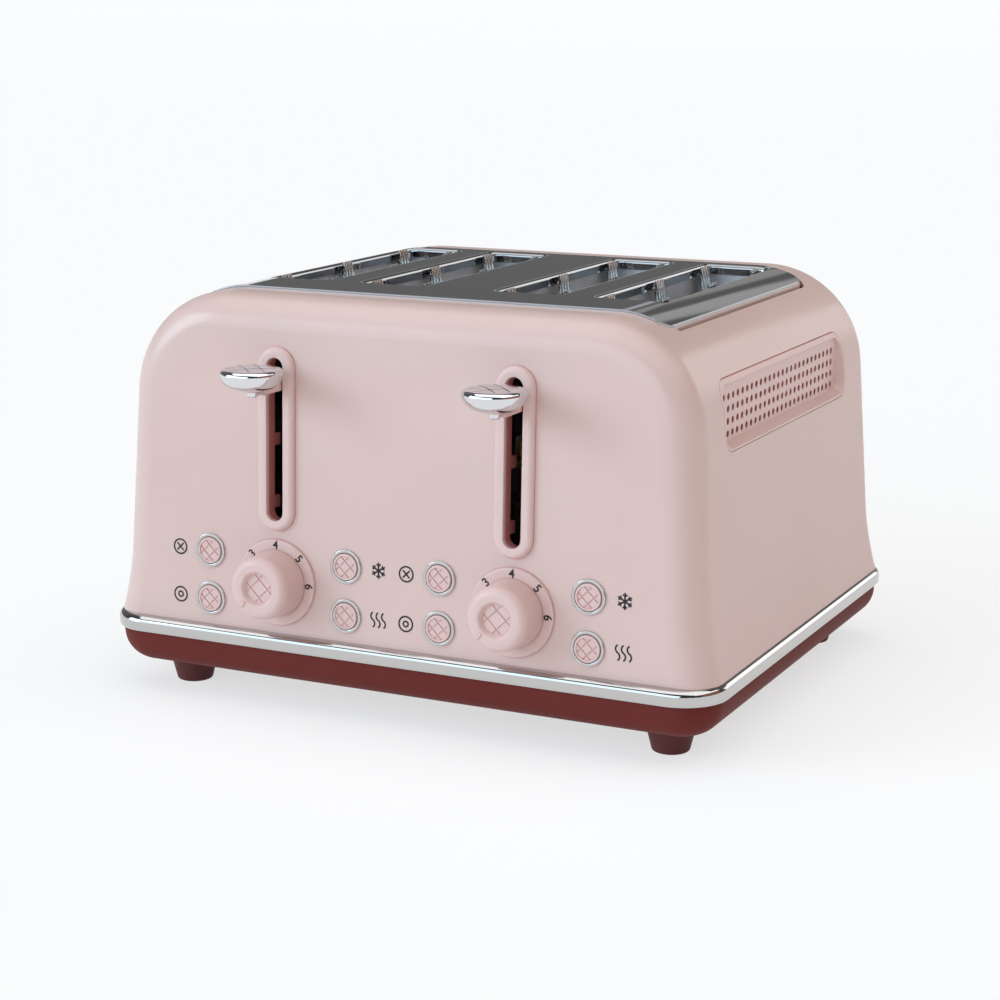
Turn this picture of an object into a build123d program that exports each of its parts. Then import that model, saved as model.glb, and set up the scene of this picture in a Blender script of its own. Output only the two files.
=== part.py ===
from build123d import *
import os
from math import atan2, cos, degrees, radians, sin

# Sizes are in millimetres. The origin is on the table under the middle of the overall box, +Z is up,
# the controls face -Y, and left and right are as seen from the front.

# Stack of the housing, from the table up
foot_height = 13.7
base_height = 17.7
band_height = 8.0
body_height = 162.1

# Body shell
body_width = 321.0
body_depth = 262.6
body_flare = 6.3
flare_height = 35.6
side_draw_in = 13.9
face_draw_in = 6.2
shoulder_radius = 52.0
edge_radius = 16.0
wall = 2.2

# Trim band and base pan
band_side_overhang = 2.5
band_face_overhang = 5.2
band_corner = 23.0
band_round = 3.4
band_under_round = 1.6
band_thickness = 7.5
base_inset = 2.5
base_round = 15.0

# Bread slots, two for each lever
lever_pitch = 126.0
slot_pitch = 52.5
slot_length = 146.0
slot_width = 33.0
slot_corner = 3.0
slot_back = 12.3
lip_width = 2.4
lip_depth = 4.0
lip_round = 2.0

# Top deck
deck_thickness = 1.1
deck_side_margin = 17.5
deck_length = 188.0
deck_back_shift = -1.0
deck_corner = 8.0
deck_round = 0.4
deck_seat = 4.8
deck_slit = 2.0
deck_slit_gap = 0.6
deck_slit_return = 9.0

# Front panel fittings; rises are measured up the panel from the foot of the body
bezel_rise = 95.0
bezel_length = 89.0
bezel_width = 19.8
bezel_proud = 3.0
bezel_round = 2.6
bezel_slot_round = 0.6
bezel_sleeve = 5.0
bezel_sleeve_wall = 1.9
bezel_tab_length = 5.0
bezel_tab_width = 6.0
bezel_tab_rises = (-31.5, -1.0)
lever_slot_length = 78.7
lever_slot_width = 8.9
dial_rise = 25.3
dial_radius = 21.2
dial_thickness = 1.8
dial_round = 0.9
button_spread = 38.0
button_rises = (37.0, 13.0)
button_radius = 6.5
button_proud = 1.5
button_round = 0.6
button_dish = 5.3
button_dish_depth = 0.4
button_hatch_pitch = 4.2
button_travel = 2.0
ring_radius = 8.35
ring_proud = 1.0
ring_round = 0.4
ring_sleeve = 4.2
ring_sleeve_wall = 0.6
running_gap = 0.25
panel_gap = 0.1

# Crosshatch cut into the caps
hatch_width = 0.5
hatch_depth = 0.35
hatch_turn = 45.0

# Browning knobs
knob_front_radius = 15.1
knob_back_radius = 16.2
knob_length = 17.0
knob_gap = 0.3
knob_rim_round = 4.2
knob_dish_radius = 7.0
knob_dish_depth = 2.4
knob_dish_slope = 1.5
knob_dish_round = 1.4
knob_hatch_pitch = 6.5
knob_pointer_out = 11.4
knob_pointer_length = 4.0
knob_pointer_width = 1.6
knob_pointer_depth = 0.4
knob_pointer_turn = 225.0
shaft_radius = 3.0
shaft_fit = 0.05
shaft_clearance = 1.0

# Lever caps and arms
cap_out = 149.2
cap_radius = 15.0
cap_height = 10.4
cap_foot_radius = 7.0
cap_rim_rise = 6.6
cap_lip_width = 2.4
cap_lip_rise = 9.7
cap_bowl_sag = 1.7
cap_hatch_margin = 3.2
cap_hatch_depth = 0.9
cap_hatch_pitch = 7.0
cap_seat_height = 162.0
arm_width = 8.0
arm_height = 3.4
arm_eye = 1.2
arm_tip = 3.6
lever_travel = 58.0
cap_screw_head_radius = 2.6
cap_screw_head_height = 2.6
cap_screw_radius = 1.5
cap_screw_depth = 5.0
screw_gap = 0.1

# Side vents
vent_length = 176.0
vent_height = 33.0
vent_rise = 155.5
vent_front_shift = 2.0
vent_corner = 9.0
vent_seam = 0.3
vent_floor = 145.0
vent_plate = 2.0
vent_border = 3.0
vent_slope = 20.0
vent_hole_drop = 1.5
vent_reach = 13.0
vent_columns = 26
vent_rows = 4
vent_column_pitch = 6.25
vent_row_pitch = 5.8
vent_hole_radius = 1.7

# Cage, liners and heaters
sheet = 1.0
cage_gap = 5.0
cage_side_margin = 34.75
cage_top_gap = 3.5
cage_shoulder = 26.0
liner_wall = 0.8
liner_depth = 38.0
liner_gap = 0.1
liner_clearance = 1.0
shield_out = 26.0
shield_rise = 30.0
shield_height = 150.0
card_out = 22.0
card_thickness = 1.2
card_rise = 62.0
card_height = 102.0
ribbon_count = 9
ribbon_width = 1.4
ribbon_proud = 0.4
seat_gap = 0.2

# Bread guides
guide_offset = 11.0
guide_axle_rise = 46.0
guide_axle_radius = 1.2
guide_axle_fit = 0.05
guide_flare_rise = 186.0
guide_flare = 3.1
guide_top_rise = 202.4
guide_wire_radius = 1.0
guide_wire_pitch = 3.2
guide_cluster_pitch = 62.0
guide_rail_radius = 0.8
guide_rail_rises = (92.0, 140.0)
guide_tab_length = 17.0
guide_tab_angle = 75.0
guide_tab_height = 12.0
guide_tab_thickness = 0.8
guide_tab_lean = 15.0

# Lift carriages and bread racks
rod_radius = 2.5
rod_fit = 0.05
rod_gap = 7.0
rod_top_rise = 194.0
bracket_half = 12.0
slider_radius = 5.0
slider_web = 6.0
carriage_rise = 104.0
carriage_bar_height = 17.0
carriage_bar_half = 31.0
carriage_stem_half = 12.0
carriage_sheet = 1.5
slider_lift = 4.0
slider_height = 50.0
carriage_gap = 5.0
rack_rise = 118.0
rack_width = 16.0
rack_thickness = 1.2
rack_web = 1.5
rack_web_height = 8.0
rack_notch = 4.0
rack_notch_pitch = 20.0
rack_slot_gap = 2.2
rack_end_gap = 3.0

# Latch magnets and return springs
magnet_side = 20.0
magnet_core = 16.0
magnet_core_depth = 8.0
magnet_coil = 20.0
magnet_coil_depth = 11.0
magnet_coil_height = 10.0
magnet_post_height = 14.0
armature_half = 9.0
armature_thickness = 2.5
latch_gap = 0.3
spring_radius = 4.1
spring_wire = 0.55
spring_turns = 9
rod_boss_radius = 6.5
rod_boss_height = 20.0

# Control boards
board_depth = 16.0
board_length = 106.0
board_height = 48.0
board_thickness = 1.6
board_rise = 26.0
post_radius = 3.0
post_pin_radius = 1.4
post_pin_gap = 0.1
post_spread = 49.5
post_rises = (45.0, 7.0)
pot_size = 14.0
pot_length = 8.0
pot_floor = 1.0
relay_length = 19.0
relay_height = 15.0
relay_depth = 12.0
switch_size = 6.0
switch_height = 3.5
plunger_radius = 1.7
plunger_height = 1.0
stem_radius = 2.0
press_gap = 0.3

# Feet, base screws, crumb trays and cord inlet
foot_spread = 261.6
foot_depth_spread = 204.0
foot_top_radius = 12.3
foot_bottom_radius = 8.8
foot_round = 1.5
plug_radius = 4.0
plug_head_radius = 5.2
plug_head_height = 1.6
plug_gap = 0.1
screw_spread = 272.0
screw_depth_spread = 120.0
screw_radius = 1.5
screw_head_radius = 3.2
screw_head_height = 1.7
screw_length = 12.0
screw_post_radius = 4.5
screw_post_top = 60.0
screw_rib = 3.0
tray_width = 110.0
tray_height = 8.0
tray_wall = 0.8
tray_gap = 0.4
tray_front_gap = 1.5
handle_front = 118.0
handle_lip_height = 3.0
inlet_rise = 22.0
inlet_bore = 3.7
inlet_radius = 6.0
inlet_flange_radius = 8.5
inlet_flange = 3.0
inlet_length = 12.0
inlet_round = 0.8

# Heights and places worked out from the sizes above
base_z = foot_height
band_z = base_z + base_height
body_z = band_z + band_height
body_top = body_z + body_height
floor_z = base_z + wall
band_width = body_width + 2 * band_side_overhang
band_depth = body_depth + 2 * band_face_overhang
body_y = (cap_out + cap_radius - band_depth / 2) / 2
lean = atan2(face_draw_in, body_height)
sides = {"left": -1, "right": 1}
slot_places = [
    (side * lever_pitch / 2 + step * slot_pitch / 2, slot_back) for side in (-1, 1) for step in (-1, 1)
]
cage_front = slot_back - slot_length / 2 - cage_gap
cage_rear = slot_back + slot_length / 2 + cage_gap
cage_half = (lever_pitch + slot_pitch) / 2 + cage_side_margin
cage_top = body_top - cage_top_gap
rod_y = cage_front - sheet - rod_gap
carriage_y = rod_y - carriage_gap
deck_width = lever_pitch + slot_pitch + slot_width + 2 * deck_side_margin
button_rows = {"upper": button_rises[0], "lower": button_rises[1]}
button_columns = {"outer": 1, "inner": -1}


def upright(back):
    # The plane that faces the front, a distance behind the body's middle
    return Plane((0, body_y + back, 0), x_dir=(1, 0, 0), z_dir=(0, -1, 0))


def level(height):
    return Plane((0, body_y, height))


def flank(side, out):
    # The plane that faces outwards on one side, with its own X along the side
    return Plane((side * out, body_y, 0), x_dir=(0, side, 0), z_dir=(side, 0, 0))


front_panel = Plane(
    (0, body_y - body_depth / 2, body_z), x_dir=(1, 0, 0), z_dir=(0, -cos(lean), sin(lean))
)
rear_panel = Plane(
    (0, body_y + body_depth / 2, body_z), x_dir=(-1, 0, 0), z_dir=(0, cos(lean), sin(lean))
)


outward = Axis(front_panel.origin, front_panel.z_dir)


def save(piece, name):
    piece.label = name
    export_step(piece, f"parts/{name}.step")


def arch(inset):
    # The body's outline from the front, drawn in by a distance
    with BuildSketch() as outline:
        with BuildLine():
            foot = Vector(body_width / 2 - inset, body_z)
            waist = Vector(body_width / 2 - body_flare - inset, body_z + flare_height)
            crown = Vector(body_width / 2 - side_draw_in - inset, body_top - inset)
            flare = TangentArc(waist, foot, tangent=waist - crown)
            side_line = Line(waist, crown)
            mirror(objects=[flare, side_line], about=Plane.YZ)
            Line(foot, (-foot.X, foot.Y))
            Line(crown, (-crown.X, crown.Y))
        make_face()
        fillet(outline.vertices().group_by(Axis.Y)[-1], radius=shoulder_radius - inset)
    return outline.sketch


def body_form(inset):
    # The body as one solid, drawn in by a distance on every side but the bottom
    with BuildPart() as form:
        with BuildSketch(upright(body_depth)):
            add(arch(inset))
        extrude(amount=2 * body_depth)
        foot_half = body_depth / 2 - inset
        crown_half = foot_half - face_draw_in
        with BuildSketch(flank(1, 0)):
            Polygon(
                (-foot_half, body_z),
                (foot_half, body_z),
                (crown_half, body_top),
                (-crown_half, body_top),
                align=None,
            )
        extrude(amount=body_width, both=True, mode=Mode.INTERSECT)
        ends = form.faces().sort_by(Axis.Y)
        rims = ends[0].edges() + ends[-1].edges()
        fillet(rims.filter_by(lambda rim: rim.center().Z > body_z + wall), radius=edge_radius - inset)
    return form.part


def base_form(inset):
    # The base pan as one solid, drawn in by a distance on every side but the top
    with BuildPart() as form:
        with BuildSketch(level(base_z + inset)):
            RectangleRounded(
                band_width - 2 * (base_inset + inset),
                band_depth - 2 * (base_inset + inset),
                band_corner - base_inset - inset,
            )
        extrude(amount=base_height - inset)
        fillet(form.faces().sort_by(Axis.Z)[0].edges(), radius=base_round - inset)
    return form.part


def upper_edges(piece):
    # The edges where the piece's upright faces meet its upper ones
    steep = 0.5
    plumb = 0.1
    tops = piece.faces().filter_by(lambda face: face.normal_at().Z > steep)
    walls = piece.faces().filter_by(lambda face: abs(face.normal_at().Z) < plumb)
    return tops.edges() & walls.edges()


def hatch(radius, pitch):
    # A square grid of two lines each way, cut to a disc
    with BuildSketch() as grid:
        for angle in (hatch_turn, hatch_turn + 90):
            with Locations(Rotation(0, 0, angle)):
                with GridLocations(0, pitch, 1, 2):
                    Rectangle(2 * radius, hatch_width)
        Circle(radius, mode=Mode.INTERSECT)
    return grid.sketch


os.makedirs("parts", exist_ok=True)
outer_body = body_form(0)

# Body shell
post_places = [
    (side * lever_pitch / 2 + step * post_spread, rise)
    for side in (-1, 1)
    for step in (-1, 1)
    for rise in post_rises
]
button_places = [
    (side * lever_pitch / 2 + step * button_spread, rise)
    for side in (-1, 1)
    for step in (-1, 1)
    for rise in button_rises
]
lever_places = [(side * lever_pitch / 2, bezel_rise) for side in (-1, 1)]
dial_places = [(side * lever_pitch / 2, dial_rise) for side in (-1, 1)]
sleeve_length = lever_slot_length + 2 * bezel_sleeve_wall
sleeve_width = lever_slot_width + 2 * bezel_sleeve_wall
ring_bore = button_radius + running_gap
ring_sleeve_radius = ring_bore + ring_sleeve_wall
slit_reach = deck_slit_gap + deck_slit
switch_reach = switch_height + plunger_height + press_gap
stem_length = board_depth - switch_reach - button_travel - ring_sleeve

with BuildPart() as screw_ribs:
    with BuildSketch(level(body_z)):
        with GridLocations(screw_spread, screw_depth_spread, 2, 2):
            Circle(screw_post_radius)
        with GridLocations(body_width, screw_depth_spread, 2, 2):
            Rectangle(body_width - screw_spread, screw_rib)
    extrude(amount=screw_post_top - body_z)
    add(body_form(wall / 2), mode=Mode.INTERSECT)

with BuildPart() as body_shell:
    add(outer_body)
    add(body_form(wall), mode=Mode.SUBTRACT)
    with BuildSketch(level(body_top)):
        with Locations((0, deck_back_shift)):
            RectangleRounded(deck_width - 2 * deck_seat, deck_length - 2 * deck_seat, deck_corner)
    extrude(amount=-shoulder_radius, mode=Mode.SUBTRACT)
    with BuildSketch(level(body_top)):
        with Locations((0, deck_back_shift)):
            RectangleRounded(
                deck_width + 2 * slit_reach, deck_length + 2 * slit_reach, deck_corner + slit_reach
            )
            RectangleRounded(
                deck_width + 2 * deck_slit_gap,
                deck_length + 2 * deck_slit_gap,
                deck_corner + deck_slit_gap,
                mode=Mode.SUBTRACT,
            )
            Rectangle(deck_width - 2 * deck_slit_return, 2 * deck_length, mode=Mode.SUBTRACT)
        with Locations((0, deck_back_shift - deck_length / 2)):
            Rectangle(2 * deck_width, 2 * deck_corner, mode=Mode.SUBTRACT)
    extrude(amount=-shoulder_radius, mode=Mode.SUBTRACT)
    with BuildSketch(front_panel):
        with Locations(*lever_places):
            SlotOverall(sleeve_length + 2 * panel_gap, sleeve_width + 2 * panel_gap, rotation=90)
        with Locations(*dial_places):
            Circle(shaft_radius + shaft_clearance)
        with Locations(*button_places):
            Circle(ring_sleeve_radius + panel_gap)
    extrude(amount=-2 * wall, mode=Mode.SUBTRACT)
    with BuildSketch(rear_panel):
        with Locations((0, inlet_rise)):
            Circle(inlet_radius + panel_gap)
    extrude(amount=-2 * wall, mode=Mode.SUBTRACT)
    for side in (-1, 1):
        with BuildSketch(flank(side, 0)):
            with Locations((-side * vent_front_shift, vent_rise)):
                RectangleRounded(
                    vent_length + 2 * vent_seam, vent_height + 2 * vent_seam, vent_corner + vent_seam
                )
        extrude(amount=body_width, mode=Mode.SUBTRACT)
    with BuildSketch(front_panel.offset(-board_depth)):
        with Locations(*post_places):
            Circle(post_radius)
    extrude(amount=board_depth - wall / 2)
    with BuildSketch(front_panel.offset(-board_depth)):
        with Locations(*post_places):
            Circle(post_pin_radius)
    extrude(amount=-2 * board_thickness)
    add(screw_ribs.part)
    with BuildSketch(level(floor_z)):
        with GridLocations(screw_spread, screw_depth_spread, 2, 2):
            Circle(screw_post_radius)
    extrude(amount=body_z - floor_z)
    with BuildSketch(level(floor_z)):
        with GridLocations(screw_spread, screw_depth_spread, 2, 2):
            Circle(screw_radius + screw_gap)
    extrude(amount=screw_length, mode=Mode.SUBTRACT)
save(body_shell.part, "body_shell")

# Top deck with a lip rolled down into each bread slot
with BuildPart() as slot_lips:
    with BuildSketch(level(body_top - shoulder_radius)):
        with Locations(*slot_places):
            RectangleRounded(
                slot_width + 2 * lip_width, slot_length + 2 * lip_width, slot_corner + lip_width
            )
    extrude(amount=2 * shoulder_radius)
    with BuildSketch(upright(body_depth)):
        add(arch(-deck_thickness))
        add(arch(lip_depth), mode=Mode.SUBTRACT)
    extrude(amount=2 * body_depth, mode=Mode.INTERSECT)

with BuildPart() as top_deck:
    with BuildSketch(level(body_top - shoulder_radius)):
        with Locations((0, deck_back_shift)):
            RectangleRounded(deck_width, deck_length, deck_corner)
    extrude(amount=2 * shoulder_radius)
    with BuildSketch(upright(body_depth)):
        add(arch(-deck_thickness))
        add(arch(0), mode=Mode.SUBTRACT)
    extrude(amount=2 * body_depth, mode=Mode.INTERSECT)
    fillet(upper_edges(top_deck.part), radius=deck_round)
    add(slot_lips.part)
    with BuildSketch(level(body_top - shoulder_radius)):
        with Locations(*slot_places):
            RectangleRounded(slot_width, slot_length, slot_corner)
    extrude(amount=2 * shoulder_radius, mode=Mode.SUBTRACT)
    slot_mouths = top_deck.edges(Select.LAST).filter_by(lambda edge: edge.center().Z > body_top)
    fillet(slot_mouths, radius=lip_round)
save(top_deck.part, "top_deck")

# Bright sleeves that line the slots under the deck
liner_half = slot_width / 2 + liner_clearance
with BuildPart() as slot_liners:
    with BuildSketch(level(body_top - liner_depth)):
        with Locations(*slot_places):
            RectangleRounded(
                2 * (liner_half + liner_wall),
                slot_length + 2 * (liner_clearance + liner_wall),
                slot_corner + liner_clearance + liner_wall,
            )
            RectangleRounded(
                2 * liner_half,
                slot_length + 2 * liner_clearance,
                slot_corner + liner_clearance,
                mode=Mode.SUBTRACT,
            )
    extrude(amount=liner_depth)
    with BuildSketch(upright(body_depth)):
        add(arch(lip_depth + liner_gap))
    extrude(amount=2 * body_depth, mode=Mode.INTERSECT)
save(slot_liners.part, "slot_liners")

# Trim band
with BuildPart() as chrome_band:
    with BuildSketch(level(band_z)):
        RectangleRounded(band_width, band_depth, band_corner)
        RectangleRounded(
            band_width - 2 * band_thickness,
            band_depth - 2 * band_thickness,
            band_corner - band_thickness,
            mode=Mode.SUBTRACT,
        )
    extrude(amount=band_height)
    fillet(chrome_band.faces().sort_by(Axis.Z)[-1].outer_wire().edges(), radius=band_round)
    fillet(chrome_band.faces().sort_by(Axis.Z)[0].outer_wire().edges(), radius=band_under_round)
save(chrome_band.part, "chrome_band")

# Base pan with rod bosses, magnet posts and the two tray openings
tray_floor = floor_z + tray_gap
tray_top = tray_floor + tray_height
foot_places = [
    (x * foot_spread / 2, y * foot_depth_spread / 2) for x in (-1, 1) for y in (-1, 1)
]
magnet_places = [(side * (lever_pitch / 2 + magnet_side), rod_y) for side in (-1, 1)]
with BuildPart() as base_pan:
    add(base_form(0))
    add(base_form(wall), mode=Mode.SUBTRACT)
    with BuildSketch(level(floor_z)):
        with Locations((-lever_pitch / 2, rod_y), (lever_pitch / 2, rod_y)):
            Circle(rod_boss_radius)
    extrude(amount=rod_boss_height)
    with BuildSketch(level(floor_z)):
        with Locations(*magnet_places):
            Rectangle(magnet_coil, magnet_coil_depth)
    extrude(amount=magnet_post_height)
    with BuildSketch(level(tray_floor - tray_gap / 2)):
        with Locations((-lever_pitch / 2, body_depth / 2), (lever_pitch / 2, body_depth / 2)):
            Rectangle(tray_width + 2 * tray_gap, 4 * base_round)
    extrude(amount=tray_height + tray_gap, mode=Mode.SUBTRACT)
    with BuildSketch(level(base_z)):
        with Locations(*foot_places):
            Circle(plug_radius + plug_gap)
        with GridLocations(screw_spread, screw_depth_spread, 2, 2):
            Circle(screw_radius + screw_gap)
    extrude(amount=wall, mode=Mode.SUBTRACT)
save(base_pan.part, "base_pan")

# Feet, plugged through the base
with BuildPart(level(0)) as feet:
    with Locations(*foot_places):
        Cone(foot_bottom_radius, foot_top_radius, foot_height, align=(Align.CENTER, Align.CENTER, Align.MIN))
    fillet(feet.edges().group_by(Axis.Z)[0], radius=foot_round)
    with BuildSketch(level(base_z)):
        with Locations(*foot_places):
            Circle(plug_radius)
    extrude(amount=wall)
    with BuildSketch(level(floor_z)):
        with Locations(*foot_places):
            Circle(plug_head_radius)
    extrude(amount=plug_head_height)
save(feet.part, "feet")

# Base screws, up through the base into the shell's posts
with BuildPart() as base_screws:
    with BuildSketch(level(base_z)):
        with GridLocations(screw_spread, screw_depth_spread, 2, 2):
            Circle(screw_head_radius)
    extrude(amount=-screw_head_height)
    with BuildSketch(level(base_z)):
        with GridLocations(screw_spread, screw_depth_spread, 2, 2):
            Circle(screw_radius)
    extrude(amount=screw_length)
save(base_screws.part, "base_screws")


def lever_bezel(name, side):
    # The raised pill round a lever slot, with its sleeve and snap tabs behind the panel
    middle = (side * lever_pitch / 2, bezel_rise)
    with BuildPart() as bezel:
        with BuildSketch(front_panel):
            with Locations(middle):
                SlotOverall(bezel_length, bezel_width, rotation=90)
        extrude(amount=bezel_proud)
        fillet(bezel.faces().sort_by(outward)[-1].edges(), radius=bezel_round)
        with BuildSketch(front_panel):
            with Locations(middle):
                SlotOverall(sleeve_length, sleeve_width, rotation=90)
        extrude(amount=-bezel_sleeve)
        with BuildSketch(front_panel.offset(-bezel_sleeve)):
            for rise in bezel_tab_rises:
                with Locations((middle[0], bezel_rise + rise)):
                    Rectangle(sleeve_width, bezel_tab_width)
        extrude(amount=-bezel_tab_length)
        with BuildSketch(front_panel.offset(bezel_proud)):
            with Locations(middle):
                SlotOverall(lever_slot_length, lever_slot_width, rotation=90)
        extrude(amount=-bezel_proud - bezel_sleeve - bezel_tab_length, mode=Mode.SUBTRACT)
        fillet(bezel.edges(Select.LAST).group_by(outward)[-1], radius=bezel_slot_round)
    save(bezel.part, f"lever_bezel_{name}")


# Dial plates
with BuildPart() as dial_plates:
    with BuildSketch(front_panel):
        with Locations(*dial_places):
            Circle(dial_radius)
    extrude(amount=dial_thickness)
    fillet(dial_plates.edges().group_by(outward)[-1], radius=dial_round)
    with BuildSketch(front_panel):
        with Locations(*dial_places):
            Circle(shaft_radius + shaft_clearance)
    extrude(amount=dial_thickness, mode=Mode.SUBTRACT)
save(dial_plates.part, "dial_plates")

# Button rings
with BuildPart() as button_rings:
    with BuildSketch(front_panel):
        with Locations(*button_places):
            Circle(ring_radius)
    extrude(amount=ring_proud)
    with BuildSketch(front_panel):
        with Locations(*button_places):
            Circle(ring_sleeve_radius)
    extrude(amount=-ring_sleeve)
    with BuildSketch(front_panel.offset(ring_proud)):
        with Locations(*button_places):
            Circle(ring_bore)
    extrude(amount=-ring_proud - ring_sleeve, mode=Mode.SUBTRACT)
    fillet(button_rings.edges().group_by(outward)[-1], radius=ring_round)
save(button_rings.part, "button_rings")


def push_button(name, place):
    # A dished, crosshatched cap with a collar that keeps it behind its ring and a stem for the switch
    with BuildPart() as button:
        with BuildSketch(front_panel.offset(button_proud)):
            with Locations(place):
                Circle(button_radius)
        extrude(amount=-button_proud - ring_sleeve - 2 * running_gap)
        fillet(button.faces().sort_by(outward)[-1].edges(), radius=button_round)
        with BuildSketch(front_panel.offset(-ring_sleeve - running_gap)):
            with Locations(place):
                Circle(ring_sleeve_radius)
        extrude(amount=-2 * ring_sleeve_wall)
        with BuildSketch(front_panel.offset(-ring_sleeve)):
            with Locations(place):
                Circle(stem_radius)
        extrude(amount=-stem_length)
        with BuildSketch(front_panel.offset(button_proud)):
            with Locations(place):
                Circle(button_dish)
        extrude(amount=-button_dish_depth, mode=Mode.SUBTRACT)
        with BuildSketch(front_panel.offset(button_proud)):
            with Locations(place):
                add(hatch(button_dish, button_hatch_pitch))
        extrude(amount=-button_dish_depth - hatch_depth, mode=Mode.SUBTRACT)
    save(button.part, f"button_{name}")


for name, side in sides.items():
    lever_bezel(name, side)
    for column, step in button_columns.items():
        for row, rise in button_rows.items():
            push_button(
                f"{name}_{column}_{row}",
                (side * lever_pitch / 2 + side * step * button_spread, rise),
            )

# Perforated vents let into the sides
for name, side in sides.items():
    middle = (-side * vent_front_shift, vent_rise)
    with BuildPart() as vent_grille:
        with BuildSketch(flank(side, vent_floor - vent_plate)):
            with Locations(middle):
                RectangleRounded(vent_length, vent_height, vent_corner)
        extrude(amount=body_width / 2)
        add(outer_body, mode=Mode.INTERSECT)
        with BuildSketch(flank(side, vent_floor)):
            with Locations(middle):
                RectangleRounded(
                    vent_length - 2 * vent_border, vent_height - 2 * vent_border, vent_corner - vent_border
                )
        extrude(amount=vent_reach, taper=-vent_slope, mode=Mode.SUBTRACT)
        with BuildSketch(flank(side, vent_floor)):
            with Locations((middle[0], vent_rise - vent_hole_drop)):
                with GridLocations(vent_column_pitch, vent_row_pitch, vent_columns, vent_rows):
                    Circle(vent_hole_radius)
        extrude(amount=-vent_plate, mode=Mode.SUBTRACT)
    save(vent_grille.part, f"vent_grille_{name}")

# Cage plates: the front one carries the rod brackets and lets the racks through, the rear one stands
# on three legs between the crumb trays
axle_places = [
    (x + step * guide_offset, guide_axle_rise) for x, _ in slot_places for step in (-1, 1)
]
rack_slot_top = rack_rise + 2 * rack_web_height
rack_slot_bottom = rack_rise - lever_travel - 2 * rack_web_height
shoulder_cut = [
    (cage_half, floor_z),
    (cage_half, cage_top - cage_shoulder),
    (cage_half - cage_shoulder, cage_top),
    (-cage_half + cage_shoulder, cage_top),
    (-cage_half, cage_top - cage_shoulder),
    (-cage_half, floor_z),
]
with BuildPart() as chassis_front:
    with BuildSketch(upright(cage_front)):
        Polygon(*shoulder_cut, align=None)
        for x, _ in slot_places:
            with Locations((x, (rack_slot_top + rack_slot_bottom) / 2)):
                SlotOverall(
                    rack_slot_top - rack_slot_bottom,
                    rack_web + 2 * rack_slot_gap,
                    rotation=90,
                    mode=Mode.SUBTRACT,
                )
        with Locations(*axle_places):
            Circle(guide_axle_radius + guide_axle_fit, mode=Mode.SUBTRACT)
    extrude(amount=sheet)
    with BuildSketch(level(rod_top_rise)):
        with Locations((-lever_pitch / 2, rod_y), (lever_pitch / 2, rod_y)):
            Rectangle(2 * bracket_half, 2 * rod_gap)
            Circle(rod_radius + rod_fit, mode=Mode.SUBTRACT)
    extrude(amount=-sheet)
save(chassis_front.part, "chassis_front")

with BuildPart() as chassis_rear:
    with BuildSketch(upright(cage_rear + sheet)):
        Polygon(*shoulder_cut, align=None)
        for side in (-1, 1):
            with Locations((side * lever_pitch / 2, floor_z)):
                Rectangle(
                    tray_width + 4 * tray_gap, 2 * (tray_height + 3 * tray_gap), mode=Mode.SUBTRACT
                )
        with Locations(*axle_places):
            Circle(guide_axle_radius + guide_axle_fit, mode=Mode.SUBTRACT)
    extrude(amount=sheet)
save(chassis_rear.part, "chassis_rear")

# Heat shields on both sides and in the middle of the cage
shield_places = [0] + [side * ((lever_pitch + slot_pitch) / 2 + shield_out) for side in (-1, 1)]
with BuildPart() as heat_shields:
    for x in shield_places:
        with BuildSketch(flank(1, x - sheet / 2)):
            with Locations(((cage_front + cage_rear) / 2, shield_rise + shield_height / 2)):
                Rectangle(cage_rear - cage_front - 2 * seat_gap, shield_height)
        extrude(amount=sheet)
save(heat_shields.part, "heat_shields")

# Heater cards with ribbon windings
for name, side in sides.items():
    slot_half = slot_pitch / 2 + card_out
    with BuildPart() as heater:
        between = side * lever_pitch / 2
        for x in (between - slot_half, between, between + slot_half):
            middle = ((cage_front + cage_rear) / 2, card_rise + card_height / 2)
            with BuildSketch(flank(1, x - card_thickness / 2)):
                with Locations(middle):
                    Rectangle(cage_rear - cage_front - 2 * seat_gap, card_height)
            extrude(amount=card_thickness)
            with BuildSketch(flank(1, x - card_thickness / 2 - ribbon_proud)):
                with Locations(middle):
                    with GridLocations(0, card_height / (ribbon_count + 1), 1, ribbon_count):
                        Rectangle(slot_length, ribbon_width)
            extrude(amount=card_thickness + 2 * ribbon_proud)
    save(heater.part, f"heater_{name}")

# Guide rods
rod_foot = floor_z + rod_boss_height
with BuildPart() as guide_rods:
    with BuildSketch(level(rod_foot)):
        with Locations((-lever_pitch / 2, rod_y), (lever_pitch / 2, rod_y)):
            Circle(rod_radius)
    extrude(amount=rod_top_rise + sheet - rod_foot)
save(guide_rods.part, "guide_rods")


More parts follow.
